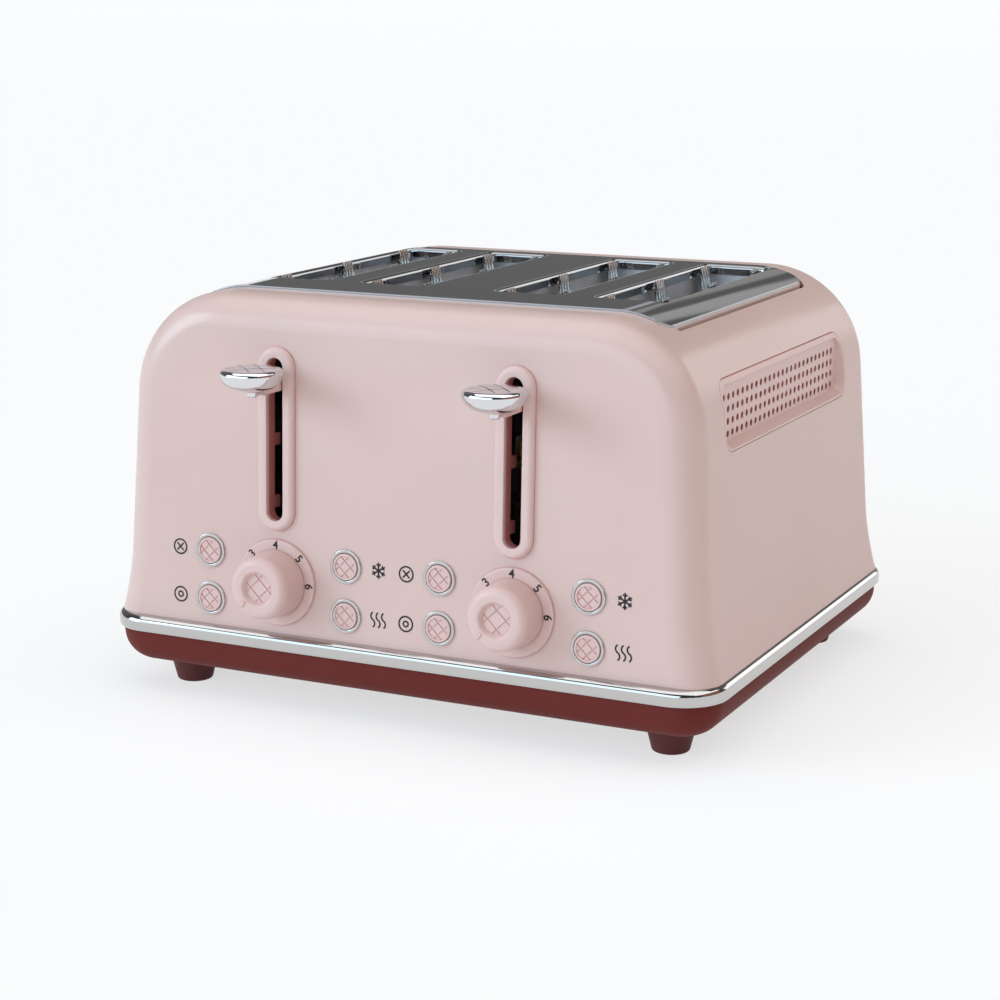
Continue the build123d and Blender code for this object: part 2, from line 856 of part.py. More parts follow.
def bread_guide(name, x, side):
    # Wires in threes on an axle, tied by two rails, flared at the top, with a sheet tab across each three
    clusters = [(slot_back + step * guide_cluster_pitch, 0) for step in (-1, 0, 1)]
    flare = atan2(guide_flare, guide_top_rise - guide_flare_rise)
    tab_lean = radians(guide_tab_lean)
    elbow = (x, body_y, guide_flare_rise)
    with BuildPart() as guide:
        with BuildSketch(upright(cage_rear + 2 * sheet)):
            with Locations((x, guide_axle_rise)):
                Circle(guide_axle_radius)
        extrude(amount=cage_rear - cage_front + 4 * sheet)
        with BuildSketch(Plane((x, body_y, guide_axle_rise), x_dir=(0, 1, 0), z_dir=(0, 0, 1))):
            with Locations(*clusters):
                with GridLocations(guide_wire_pitch, 0, 3, 1):
                    Circle(guide_wire_radius)
        extrude(amount=guide_flare_rise - guide_axle_rise)
        with BuildSketch(Plane(elbow, x_dir=(0, 1, 0), z_dir=(side * sin(flare), 0, cos(flare)))):
            with Locations(*clusters):
                with GridLocations(guide_wire_pitch, 0, 3, 1):
                    Circle(guide_wire_radius)
        extrude(amount=(guide_top_rise - guide_flare_rise) / cos(flare))
        with BuildSketch(upright(clusters[-1][0] + 2 * guide_wire_pitch)):
            with Locations(*[(x, rise) for rise in guide_rail_rises]):
                Circle(guide_rail_radius)
        extrude(amount=2 * guide_cluster_pitch + 4 * guide_wire_pitch)
        tab_plane = Plane(elbow, x_dir=(0, 1, 0), z_dir=(cos(tab_lean), 0, -side * sin(tab_lean)))
        with BuildSketch(tab_plane.offset(-guide_tab_thickness / 2)):
            with Locations(*clusters):
                Trapezoid(
                    guide_tab_length, guide_tab_height, guide_tab_angle, align=(Align.CENTER, Align.MIN)
                )
        extrude(amount=guide_tab_thickness)
    save(guide.part, f"bread_guide_{name}")


for slot, (x, _) in enumerate(slot_places, start=1):
    bread_guide(f"{slot}_left", x - guide_offset, -1)
    bread_guide(f"{slot}_right", x + guide_offset, 1)


def lever_cap(name, side):
    # A chrome mushroom with a bowl underside, a rounded edge and a crosshatched, slightly domed top
    x = side * lever_pitch / 2
    with BuildPart() as cap:
        with BuildSketch(Plane((x, body_y - cap_out, cap_seat_height), x_dir=(0, 1, 0), z_dir=(1, 0, 0))):
            with BuildLine():
                foot = (cap_foot_radius, 0)
                brim = (cap_radius, cap_rim_rise)
                lip = (cap_radius - cap_lip_width, cap_lip_rise)
                Line((0, 0), foot)
                bowl = SagittaArc(foot, brim, -cap_bowl_sag)
                TangentArc(brim, lip, tangent=bowl % 1)
                Polyline(lip, (0, cap_height), (0, 0))
            make_face()
        revolve(axis=Axis((x, body_y - cap_out, 0), (0, 0, 1)))
        with BuildSketch(level(cap_seat_height + cap_height)):
            with Locations((x, -cap_out)):
                add(hatch(cap_radius - cap_hatch_margin, cap_hatch_pitch))
        extrude(amount=-cap_hatch_depth, mode=Mode.SUBTRACT)
        with BuildSketch(level(cap_seat_height)):
            with Locations((x, -cap_out)):
                Circle(cap_screw_radius + screw_gap)
        extrude(amount=cap_screw_depth, mode=Mode.SUBTRACT)
    save(cap.part, f"lever_cap_{name}")


def lever_arm(name, side):
    # A bar from the carriage, thinned to an eye for the screw under the cap
    x = side * lever_pitch / 2
    arm_root = carriage_y - carriage_sheet
    arm_front = arm_tip - cap_out
    with BuildPart() as arm:
        with BuildSketch(level(cap_seat_height - arm_height)):
            with Locations((x, arm_root)):
                Rectangle(arm_width, arm_root - arm_front, align=(Align.CENTER, Align.MAX))
        extrude(amount=arm_height)
        with BuildSketch(level(cap_seat_height - arm_eye)):
            with Locations((x, -cap_out)):
                Rectangle(2 * arm_tip, 2 * arm_tip, align=(Align.CENTER, Align.MIN))
                Circle(arm_tip)
                Circle(cap_screw_radius + screw_gap, mode=Mode.SUBTRACT)
        extrude(amount=arm_eye)
    save(arm.part, f"lever_arm_{name}")


def lever_screw(name, side):
    x = side * lever_pitch / 2
    with BuildPart() as screw:
        with BuildSketch(level(cap_seat_height - arm_eye)):
            with Locations((x, -cap_out)):
                Circle(cap_screw_head_radius)
        extrude(amount=-cap_screw_head_height)
        chamfer(screw.edges().group_by(Axis.Z)[0], length=cap_screw_head_height / 4)
        with BuildSketch(level(cap_seat_height - arm_eye)):
            with Locations((x, -cap_out)):
                Circle(cap_screw_radius)
        extrude(amount=arm_eye + cap_screw_depth - screw_gap)
    save(screw.part, f"lever_screw_{name}")


def carriage(name, side):
    # A T-shaped plate with a slider on the rod and an armature over the latch magnet
    x = side * lever_pitch / 2
    stem_height = cap_seat_height + arm_height - carriage_rise
    with BuildPart() as lift:
        with BuildSketch(upright(carriage_y)):
            with Locations((x, carriage_rise)):
                Rectangle(
                    2 * carriage_bar_half, carriage_bar_height, align=(Align.CENTER, Align.MIN)
                )
                Rectangle(2 * carriage_stem_half, stem_height, align=(Align.CENTER, Align.MIN))
        extrude(amount=carriage_sheet)
        with BuildSketch(level(carriage_rise + slider_lift)):
            with Locations((x, rod_y)):
                Circle(slider_radius)
            with Locations((x, carriage_y + carriage_gap / 2)):
                Rectangle(slider_web, carriage_gap)
        extrude(amount=slider_height)
        with BuildSketch(level(carriage_rise)):
            with Locations((x, rod_y)):
                Circle(rod_radius + rod_fit)
        extrude(amount=stem_height, mode=Mode.SUBTRACT)
        with BuildSketch(level(carriage_rise)):
            with Locations((x + side * magnet_side, carriage_y)):
                Rectangle(
                    2 * armature_half, carriage_gap + magnet_core_depth / 2, align=(Align.CENTER, Align.MIN)
                )
        extrude(amount=armature_thickness)
    save(lift.part, f"carriage_{name}")


def bread_racks(name, side):
    # Two scalloped strips on upright webs, fixed to the back of the carriage
    front = slot_back - slot_length / 2 + rack_end_gap
    rear = slot_back + slot_length / 2 - rack_end_gap
    notches = round((rear - front) / rack_notch_pitch)
    with BuildPart() as racks:
        for step in (-1, 1):
            x = side * lever_pitch / 2 + step * slot_pitch / 2
            with BuildSketch(flank(1, x - rack_web / 2)):
                with Locations(((carriage_y + rear) / 2, rack_rise - rack_thickness)):
                    Rectangle(rear - carriage_y, rack_web_height, align=(Align.CENTER, Align.MAX))
            extrude(amount=rack_web)
            with BuildSketch(level(rack_rise - rack_thickness)):
                with Locations((x, (front + rear) / 2)):
                    Rectangle(rack_width, rear - front)
                    with GridLocations(rack_width, rack_notch_pitch, 2, notches):
                        Circle(rack_notch, mode=Mode.SUBTRACT)
            extrude(amount=rack_thickness)
    save(racks.part, f"bread_racks_{name}")


def return_spring(name, side):
    # A coil round the rod, from its boss up to the slider
    foot = rod_foot + spring_wire + seat_gap
    height = carriage_rise + slider_lift - seat_gap - spring_wire - foot
    pitch = height / spring_turns
    with BuildPart() as spring:
        with BuildLine() as coil:
            Helix(pitch, height, spring_radius, center=(side * lever_pitch / 2, body_y + rod_y, foot))
        with BuildSketch(Plane(coil.line @ 0, z_dir=coil.line % 0)):
            Circle(spring_wire)
        sweep()
    save(spring.part, f"return_spring_{name}")
    turn_points = [coil.line @ (turn / spring_turns) for turn in range(spring_turns + 1)]
    gaps = [(upper - lower).length - 2 * spring_wire for lower, upper in zip(turn_points, turn_points[1:])]
    print(f"return_spring_{name}: least gap between turns {min(gaps):.2f} mm")


def control_board(name, side):
    x = side * lever_pitch / 2
    with BuildPart() as board:
        with BuildSketch(front_panel.offset(-board_depth)):
            with Locations((x, board_rise)):
                Rectangle(board_length, board_height)
            with Locations(*post_places):
                Circle(post_pin_radius + post_pin_gap, mode=Mode.SUBTRACT)
        extrude(amount=-board_thickness)
        with BuildSketch(front_panel.offset(-board_depth - board_thickness)):
            with Locations((x, board_rise)):
                Rectangle(relay_length, relay_height)
        extrude(amount=-relay_depth)
    save(board.part, f"control_board_{name}")


def browning_knob(name, side):
    # A rounded knob with a dished, crosshatched face, a raised pointer and a shaft for the potentiometer
    place = (side * lever_pitch / 2, dial_rise)
    back = front_panel.offset(dial_thickness + knob_gap)
    front = back.offset(knob_length)
    spread = degrees(atan2(knob_front_radius - knob_back_radius, knob_length))
    dish_slope = degrees(atan2(knob_dish_slope, knob_dish_depth))
    pointer_place = (
        place[0] + knob_pointer_out * cos(radians(knob_pointer_turn)),
        place[1] + knob_pointer_out * sin(radians(knob_pointer_turn)),
    )
    with BuildPart() as knob:
        with BuildSketch(back):
            with Locations(place):
                Circle(knob_back_radius)
        extrude(amount=knob_length, taper=-spread)
        fillet(knob.edges().sort_by(outward)[-1], radius=knob_rim_round)
        with BuildSketch(front):
            with Locations(place):
                Circle(knob_dish_radius + knob_dish_slope)
        extrude(amount=-knob_dish_depth, taper=dish_slope, mode=Mode.SUBTRACT)
        fillet(
            knob.edges(Select.LAST).sort_by(outward)[-1],
            radius=knob_dish_round,
        )
        with BuildSketch(front.offset(-knob_dish_depth)):
            with Locations(place):
                add(hatch(knob_dish_radius, knob_hatch_pitch))
        extrude(amount=-hatch_depth, mode=Mode.SUBTRACT)
        with BuildSketch(front.offset(-knob_rim_round)):
            with Locations(pointer_place):
                SlotOverall(knob_pointer_length, knob_pointer_width, rotation=knob_pointer_turn)
        extrude(amount=knob_rim_round + knob_pointer_depth)
        with BuildSketch(back):
            with Locations(place):
                Circle(shaft_radius)
        extrude(amount=-(dial_thickness + knob_gap + board_depth - 2 * pot_floor))
    save(knob.part, f"browning_knob_{name}")


def crumb_tray(name, side):
    front = cage_front + tray_front_gap
    middle = (side * lever_pitch / 2, (front + handle_front) / 2)
    with BuildPart() as tray:
        with BuildSketch(level(tray_floor)):
            with Locations(middle):
                Rectangle(tray_width, handle_front - front)
        extrude(amount=tray_height)
        with BuildSketch(level(tray_floor + tray_wall)):
            with Locations(middle):
                Rectangle(tray_width - 2 * tray_wall, handle_front - front - 2 * tray_wall)
        extrude(amount=tray_height, mode=Mode.SUBTRACT)
    save(tray.part, f"crumb_tray_{name}")


def tray_handle(name, side):
    # The rear end of a tray, shaped to the base pan, with a lip to pull it by
    x = side * lever_pitch / 2
    with BuildPart() as handle:
        with BuildSketch(level(tray_floor)):
            with Locations((x, handle_front)):
                Rectangle(tray_width, band_depth, align=(Align.CENTER, Align.MIN))
        extrude(amount=tray_height)
        add(base_form(0), mode=Mode.INTERSECT)
        with BuildSketch(level(tray_top - handle_lip_height)):
            with Locations((x, band_depth / 2)):
                Rectangle(tray_width, band_depth / 2 - handle_front, align=(Align.CENTER, Align.MAX))
        extrude(amount=handle_lip_height)
    save(handle.part, f"tray_handle_{name}")


for name, side in sides.items():
    lever_cap(name, side)
    lever_arm(name, side)
    lever_screw(name, side)
    carriage(name, side)
    bread_racks(name, side)
    return_spring(name, side)
    control_board(name, side)
    browning_knob(name, side)
    crumb_tray(name, side)
    tray_handle(name, side)

# Latch magnets on their posts
magnet_foot = floor_z + magnet_post_height
with BuildPart() as latch_magnets:
    with BuildSketch(level(magnet_foot)):
        with Locations(*magnet_places):
            Rectangle(magnet_core, magnet_core_depth)
    extrude(amount=carriage_rise - lever_travel - latch_gap - magnet_foot)
    with BuildSketch(level(magnet_foot)):
        with Locations(*magnet_places):
            Rectangle(magnet_coil, magnet_coil_depth)
    extrude(amount=magnet_coil_height)
save(latch_magnets.part, "latch_magnets")

# Browning potentiometers, bored for the knob shafts
with BuildPart() as browning_pots:
    with BuildSketch(front_panel.offset(-board_depth)):
        with Locations(*dial_places):
            Rectangle(pot_size, pot_size)
    extrude(amount=pot_length)
    with BuildSketch(front_panel.offset(pot_floor - board_depth)):
        with Locations(*dial_places):
            Circle(shaft_radius + shaft_fit)
    extrude(amount=pot_length, mode=Mode.SUBTRACT)
save(browning_pots.part, "browning_pots")

# Tact switches behind the buttons
with BuildPart() as tact_switches:
    with BuildSketch(front_panel.offset(-board_depth)):
        with Locations(*button_places):
            Rectangle(switch_size, switch_size)
    extrude(amount=switch_height)
    with BuildSketch(front_panel.offset(switch_height - board_depth)):
        with Locations(*button_places):
            Circle(plunger_radius)
    extrude(amount=plunger_height)
save(tact_switches.part, "tact_switches")

# Cord inlet bush in the rear wall
with BuildPart() as cord_inlet:
    with BuildSketch(rear_panel):
        with Locations((0, inlet_rise)):
            Circle(inlet_flange_radius)
    extrude(amount=inlet_flange)
    fillet(cord_inlet.edges().sort_by(Axis.Y)[-1], radius=inlet_round)
    with BuildSketch(rear_panel):
        with Locations((0, inlet_rise)):
            Circle(inlet_radius)
    extrude(amount=inlet_flange - inlet_length)
    with BuildSketch(rear_panel.offset(inlet_flange)):
        with Locations((0, inlet_rise)):
            Circle(inlet_bore)
    extrude(amount=-inlet_length, mode=Mode.SUBTRACT)
save(cord_inlet.part, "cord_inlet")
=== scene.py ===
import math

import bpy
import bmesh
from mathutils import Matrix, Vector


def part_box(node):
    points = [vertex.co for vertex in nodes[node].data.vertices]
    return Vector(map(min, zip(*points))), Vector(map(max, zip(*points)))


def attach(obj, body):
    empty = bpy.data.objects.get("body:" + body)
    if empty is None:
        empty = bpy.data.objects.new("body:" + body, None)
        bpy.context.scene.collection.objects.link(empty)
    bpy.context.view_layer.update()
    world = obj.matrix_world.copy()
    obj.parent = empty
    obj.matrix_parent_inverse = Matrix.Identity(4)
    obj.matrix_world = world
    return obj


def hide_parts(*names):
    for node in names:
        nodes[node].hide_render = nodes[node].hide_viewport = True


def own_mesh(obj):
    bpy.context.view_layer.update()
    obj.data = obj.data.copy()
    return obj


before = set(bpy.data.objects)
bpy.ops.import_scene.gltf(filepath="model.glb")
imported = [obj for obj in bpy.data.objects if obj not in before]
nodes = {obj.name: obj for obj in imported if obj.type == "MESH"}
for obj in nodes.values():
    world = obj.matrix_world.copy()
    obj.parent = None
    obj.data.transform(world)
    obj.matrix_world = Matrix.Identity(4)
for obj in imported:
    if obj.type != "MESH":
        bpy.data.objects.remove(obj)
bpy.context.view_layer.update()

scene = bpy.context.scene
scene.view_settings.view_transform = "Standard"
mm = 0.001
sides = {"left": -1, "right": 1}
print("frame loaded,", len(nodes), "nodes")


def linear(hexText):
    # sRGB hex to a linear colour with full alpha
    parts = [int(hexText[i:i + 2], 16) / 255 for i in (1, 3, 5)]
    return [c / 12.92 if c <= 0.04045 else ((c + 0.055) / 1.055) ** 2.4 for c in parts] + [1.0]


def addNode(tree, kind, settings=None, inputs=None, links=None):
    node = tree.nodes.new(kind)
    for key, value in (settings or {}).items():
        setattr(node, key, value)
    for key, value in (inputs or {}).items():
        node.inputs[key].default_value = value
    for key, source in (links or {}).items():
        tree.links.new(source, node.inputs[key])
    return node


def startMaterial(name, sockets):
    material = bpy.data.materials.new(name)
    material.use_nodes = True
    tree = material.node_tree
    shader = tree.nodes["Principled BSDF"]
    for socket, value in sockets.items():
        shader.inputs[socket].default_value = value
    place = addNode(tree, "ShaderNodeTexCoord")
    return material, tree, shader, place.outputs["Object"]


def perMetre(sizeMm):
    # texture scale for a pattern whose repeat is this many millimetres
    return 1 / (sizeMm * mm)


# camera at the photograph's angle, placed from the middle of the body
bodyMid = sum(corner.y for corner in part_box("chrome_band")) / 2
cameraView = {
    "place": (0.5024, bodyMid - 1.0446, 0.3451),
    "yaw": 25.998,
    "pitch": -12.641,
    "lens": 82.394,
    "sensor": 36.0,
}
yaw, pitch = math.radians(cameraView["yaw"]), math.radians(cameraView["pitch"])
look = Vector((-math.sin(yaw) * math.cos(pitch), math.cos(yaw) * math.cos(pitch), math.sin(pitch)))
cameraData = bpy.data.cameras.new("photoCamera")
cameraData.lens = cameraView["lens"]
cameraData.sensor_width = cameraView["sensor"]
camera = bpy.data.objects.new("photoCamera", cameraData)
camera.location = cameraView["place"]
camera.rotation_euler = look.to_track_quat("-Z", "Y").to_euler()
scene.collection.objects.link(camera)
scene.camera = camera
print("camera set")

# sprayed satin lacquer on pressed steel: even soft pink, with painted shade that darkens it to rose in seams
# and creases (worked out from ambient occlusion), a broad sheen, a trace of orange peel
lacquer = {"pink": "#DABDB5", "pinkShade": "#D6B7AE", "drift": 70, "paintedCreaseShade": "#CB857C", "crease": 1.5,
           "clearFrom": 0.3, "clearTo": 0.7, "peel": 1.6, "peelLift": 0.006, "peelStrength": 0.25,
           "haze": 22, "gloss": (0.3, 0.36)}
pinkLacquer, tree, shader, place = startMaterial("satinLacquerPink", {
    "IOR": 1.5, "Specular IOR Level": 0.26, "Coat Weight": 0.25, "Coat Roughness": 0.05})
drift = addNode(tree, "ShaderNodeTexNoise", inputs={"Scale": perMetre(lacquer["drift"]), "Detail": 2.0},
                links={"Vector": place})
tone = addNode(tree, "ShaderNodeMix", {"data_type": "RGBA"},
               {"A": linear(lacquer["pink"]), "B": linear(lacquer["pinkShade"])},
               {"Factor": drift.outputs["Fac"]})
# painted shade: where nearby surfaces crowd in (ambient occlusion), the pink turns to a deep rose in seams
# and creases
crease = addNode(tree, "ShaderNodeAmbientOcclusion", {"samples": 4}, {"Distance": lacquer["crease"] * mm})
clear = addNode(tree, "ShaderNodeMapRange", inputs={
    "From Min": lacquer["clearFrom"], "From Max": lacquer["clearTo"]}, links={"Value": crease.outputs["AO"]})
paintedCreaseShade = addNode(tree, "ShaderNodeMix", {"data_type": "RGBA"}, {"A": linear(lacquer["paintedCreaseShade"])},
                 {"Factor": clear.outputs["Result"], "B": tone.outputs["Result"]})
tree.links.new(paintedCreaseShade.outputs["Result"], shader.inputs["Base Color"])
haze = addNode(tree, "ShaderNodeTexNoise", inputs={"Scale": perMetre(lacquer["haze"]), "Detail": 3.0},
               links={"Vector": place})
satin = addNode(tree, "ShaderNodeMapRange", inputs={
    "To Min": lacquer["gloss"][0], "To Max": lacquer["gloss"][1]}, links={"Value": haze.outputs["Fac"]})
tree.links.new(satin.outputs["Result"], shader.inputs["Roughness"])
peel = addNode(tree, "ShaderNodeTexNoise", inputs={"Scale": perMetre(lacquer["peel"]), "Detail": 1.0},
               links={"Vector": place})
skin = addNode(tree, "ShaderNodeBump", inputs={
    "Strength": lacquer["peelStrength"], "Distance": lacquer["peelLift"] * mm},
    links={"Height": peel.outputs["Fac"]})
tree.links.new(skin.outputs["Normal"], shader.inputs["Normal"])

# injection-moulded ABS in the same pink: a touch softer than the lacquer, with painted shade darkening the
# cut hatch and seams (worked out from ambient occlusion), and spark-eroded mould grain
moulded = {"pink": "#DDBDB6", "pinkShade": "#D9B7AF", "hatchAndSeamShade": "#CC847A", "crease": 1.2, "drift": 30,
           "clearFrom": 0.35, "clearTo": 0.8, "grain": 0.35, "grainLift": 0.006, "grainStrength": 0.2,
           "gloss": (0.38, 0.48)}
pinkMoulding, tree, shader, place = startMaterial("mouldedAbsPink", {
    "IOR": 1.53, "Specular IOR Level": 0.35, "Coat Weight": 0.25, "Coat Roughness": 0.1})
drift = addNode(tree, "ShaderNodeTexNoise", inputs={"Scale": perMetre(moulded["drift"]), "Detail": 2.0},
                links={"Vector": place})
tone = addNode(tree, "ShaderNodeMix", {"data_type": "RGBA"},
               {"A": linear(moulded["pink"]), "B": linear(moulded["pinkShade"])},
               {"Factor": drift.outputs["Fac"]})
# painted shade: where nearby surfaces crowd in (ambient occlusion), the pink turns to a deeper rose in the
# hatch and seams
crease = addNode(tree, "ShaderNodeAmbientOcclusion", {"samples": 4}, {"Distance": moulded["crease"] * mm})
clear = addNode(tree, "ShaderNodeMapRange", inputs={
    "From Min": moulded["clearFrom"], "From Max": moulded["clearTo"]}, links={"Value": crease.outputs["AO"]})
paintedCreaseShade = addNode(tree, "ShaderNodeMix", {"data_type": "RGBA"}, {"A": linear(moulded["hatchAndSeamShade"])},
                 {"Factor": clear.outputs["Result"], "B": tone.outputs["Result"]})
tree.links.new(paintedCreaseShade.outputs["Result"], shader.inputs["Base Color"])
grain = addNode(tree, "ShaderNodeTexNoise", inputs={"Scale": perMetre(moulded["grain"]), "Detail": 2.0},
                links={"Vector": place})
satin = addNode(tree, "ShaderNodeMapRange", inputs={
    "To Min": moulded["gloss"][0], "To Max": moulded["gloss"][1]}, links={"Value": grain.outputs["Fac"]})
tree.links.new(satin.outputs["Result"], shader.inputs["Roughness"])
skin = addNode(tree, "ShaderNodeBump", inputs={
    "Strength": moulded["grainStrength"], "Distance": moulded["grainLift"] * mm},
    links={"Height": grain.outputs["Fac"]})
tree.links.new(skin.outputs["Normal"], shader.inputs["Normal"])

# pink ABS for the lever frames and vent plates, with painted shade: past a set depth into the lever slots and
# vent holes, where shade falls, the pink turns to dark rose
openingShadeAbs = {"face": "#DDBDB6", "openingShade": "#C87F77", "frameShadeDepth": 0.4, "ventShadeDepth": 144.7, "grain": 0.35,
           "gloss": (0.38, 0.48)}
# the leaning front panel that frames, dials and marks sit on, in millimetres
panel = {"leverPitch": 126.0, "footDepth": 131.3, "footHeight": 39.4, "leanBack": 6.2, "leanRise": 162.1}
panelLean = math.atan2(panel["leanBack"], panel["leanRise"])
panelFoot = Vector((0, bodyMid - panel["footDepth"] * mm, panel["footHeight"] * mm))
panelOut = Vector((0, -math.cos(panelLean), math.sin(panelLean)))
openingShadeMaterials = {}
for kind, axis, limit in (("Frame", panelOut, panelOut.dot(panelFoot) + openingShadeAbs["frameShadeDepth"] * mm),
                          ("VentLeft", Vector((-1, 0, 0)), openingShadeAbs["ventShadeDepth"] * mm),
                          ("VentRight", Vector((1, 0, 0)), openingShadeAbs["ventShadeDepth"] * mm)):
    openingShadeMaterials[kind], tree, shader, place = startMaterial("absPaintedOpeningShade" + kind, {
        "IOR": 1.53, "Specular IOR Level": 0.35, "Coat Weight": 0.25, "Coat Roughness": 0.1})
    # painted shade: deeper into the opening than the set depth, the face pink is swapped for dark rose
    depth = addNode(tree, "ShaderNodeVectorMath", {"operation": "DOT_PRODUCT"}, {1: axis}, {0: place})
    inside = addNode(tree, "ShaderNodeMath", {"operation": "LESS_THAN"}, {1: limit},
                     {0: depth.outputs["Value"]})
    tone = addNode(tree, "ShaderNodeMix", {"data_type": "RGBA"},
                   {"A": linear(openingShadeAbs["face"]), "B": linear(openingShadeAbs["openingShade"])},
                   {"Factor": inside.outputs["Value"]})
    tree.links.new(tone.outputs["Result"], shader.inputs["Base Color"])
    grain = addNode(tree, "ShaderNodeTexNoise", inputs={"Scale": perMetre(openingShadeAbs["grain"]), "Detail": 2.0},
                    links={"Vector": place})
    satin = addNode(tree, "ShaderNodeMapRange", inputs={
        "To Min": openingShadeAbs["gloss"][0], "To Max": openingShadeAbs["gloss"][1]}, links={"Value": grain.outputs["Fac"]})
    tree.links.new(satin.outputs["Result"], shader.inputs["Roughness"])

# injection-moulded ABS in burgundy: deep even colour, fine mould grain, soft sheen on the rolled edge
base = {"wine": "#6E2F29", "wineShade": "#672A25", "drift": 45, "grain": 0.4, "grainLift": 0.008,
        "grainStrength": 0.2, "gloss": (0.5, 0.6)}
burgundyMoulding, tree, shader, place = startMaterial("mouldedAbsBurgundy", {
    "IOR": 1.46, "Specular IOR Level": 0.1})
drift = addNode(tree, "ShaderNodeTexNoise", inputs={"Scale": perMetre(base["drift"]), "Detail": 2.0},
                links={"Vector": place})
tone = addNode(tree, "ShaderNodeMix", {"data_type": "RGBA"},
               {"A": linear(base["wine"]), "B": linear(base["wineShade"])},
               {"Factor": drift.outputs["Fac"]})
tree.links.new(tone.outputs["Result"], shader.inputs["Base Color"])
grain = addNode(tree, "ShaderNodeTexNoise", inputs={"Scale": perMetre(base["grain"]), "Detail": 2.0},
                links={"Vector": place})
satin = addNode(tree, "ShaderNodeMapRange", inputs={
    "To Min": base["gloss"][0], "To Max": base["gloss"][1]}, links={"Value": grain.outputs["Fac"]})
tree.links.new(satin.outputs["Result"], shader.inputs["Roughness"])
skin = addNode(tree, "ShaderNodeBump", inputs={
    "Strength": base["grainStrength"], "Distance": base["grainLift"] * mm},
    links={"Height": grain.outputs["Fac"]})
tree.links.new(skin.outputs["Normal"], shader.inputs["Normal"])

# compression-moulded silicone rubber: duller and darker than the base it is plugged into
footRubber = {"wine": "#5A2927", "bloom": "#643432", "cloud": 6, "grain": 0.5, "grainLift": 0.015,
              "grainStrength": 0.3, "gloss": (0.5, 0.65)}
burgundyRubber, tree, shader, place = startMaterial("mouldedRubberBurgundy", {
    "IOR": 1.45, "Specular IOR Level": 0.3})
cloud = addNode(tree, "ShaderNodeTexNoise", inputs={"Scale": perMetre(footRubber["cloud"]), "Detail": 3.0},
                links={"Vector": place})
tone = addNode(tree, "ShaderNodeMix", {"data_type": "RGBA"},
               {"A": linear(footRubber["wine"]), "B": linear(footRubber["bloom"])},
               {"Factor": cloud.outputs["Fac"]})
tree.links.new(tone.outputs["Result"], shader.inputs["Base Color"])
grain = addNode(tree, "ShaderNodeTexNoise", inputs={"Scale": perMetre(footRubber["grain"]), "Detail": 2.0},
                links={"Vector": place})
satin = addNode(tree, "ShaderNodeMapRange", inputs={
    "To Min": footRubber["gloss"][0], "To Max": footRubber["gloss"][1]},
    links={"Value": grain.outputs["Fac"]})
tree.links.new(satin.outputs["Result"], shader.inputs["Roughness"])
skin = addNode(tree, "ShaderNodeBump", inputs={
    "Strength": footRubber["grainStrength"], "Distance": footRubber["grainLift"] * mm},
    links={"Height": grain.outputs["Fac"]})
tree.links.new(skin.outputs["Normal"], shader.inputs["Normal"])

# chrome plate on polished brass: mirror bright, faint blue-white, a breath of polishing haze
plate = {"white": "#DDDDE0", "haze": 9, "gloss": (0.04, 0.1), "wave": 14, "waveLift": 0.004,
         "waveStrength": 0.15}
chrome, tree, shader, place = startMaterial("polishedChromePlate", {
    "Base Color": linear(plate["white"]), "Metallic": 1.0})
haze = addNode(tree, "ShaderNodeTexNoise", inputs={"Scale": perMetre(plate["haze"]), "Detail": 3.0},
               links={"Vector": place})
polish = addNode(tree, "ShaderNodeMapRange", inputs={
    "To Min": plate["gloss"][0], "To Max": plate["gloss"][1]}, links={"Value": haze.outputs["Fac"]})
tree.links.new(polish.outputs["Result"], shader.inputs["Roughness"])
wave = addNode(tree, "ShaderNodeTexNoise", inputs={"Scale": perMetre(plate["wave"]), "Detail": 0.0},
               links={"Vector": place})
skin = addNode(tree, "ShaderNodeBump", inputs={
    "Strength": plate["waveStrength"], "Distance": plate["waveLift"] * mm},
    links={"Height": wave.outputs["Fac"]})
tree.links.new(skin.outputs["Normal"], shader.inputs["Normal"])

# nickel plate over polished steel for the band and the rings: the same mirror, a little greyer
nickel = {"silver": "#C4C2C1", "haze": 9, "gloss": (0.05, 0.11)}
nickelPlate, tree, shader, place = startMaterial("polishedNickelPlate", {
    "Base Color": linear(nickel["silver"]), "Metallic": 1.0})
haze = addNode(tree, "ShaderNodeTexNoise", inputs={"Scale": perMetre(nickel["haze"]), "Detail": 3.0},
               links={"Vector": place})
polish = addNode(tree, "ShaderNodeMapRange", inputs={
    "To Min": nickel["gloss"][0], "To Max": nickel["gloss"][1]}, links={"Value": haze.outputs["Fac"]})
tree.links.new(polish.outputs["Result"], shader.inputs["Roughness"])

# stainless sheet, belt-brushed along the deck then half polished: dark glossy grey with fine lines.
# Real belt lines are about 0.05 mm apart; they are drawn at 0.5 mm so that they show.
deckSheet = {"grey": "#A9A9AA", "greyShade": "#9B9B9D", "line": 0.5, "run": 60, "lineLift": 0.002,
             "lineStrength": 0.2, "gloss": (0.02, 0.07)}
brushedSteel, tree, shader, place = startMaterial("brushedStainlessSheet", {"Metallic": 1.0})
stretch = addNode(tree, "ShaderNodeMapping", inputs={
    "Scale": (perMetre(deckSheet["run"]), perMetre(deckSheet["line"]), perMetre(deckSheet["run"]))},
    links={"Vector": place})
lines = addNode(tree, "ShaderNodeTexNoise", inputs={"Scale": 1.0, "Detail": 4.0, "Roughness": 0.6},
                links={"Vector": stretch.outputs["Vector"]})
tone = addNode(tree, "ShaderNodeMix", {"data_type": "RGBA"},
               {"A": linear(deckSheet["grey"]), "B": linear(deckSheet["greyShade"])},
               {"Factor": lines.outputs["Fac"]})
tree.links.new(tone.outputs["Result"], shader.inputs["Base Color"])
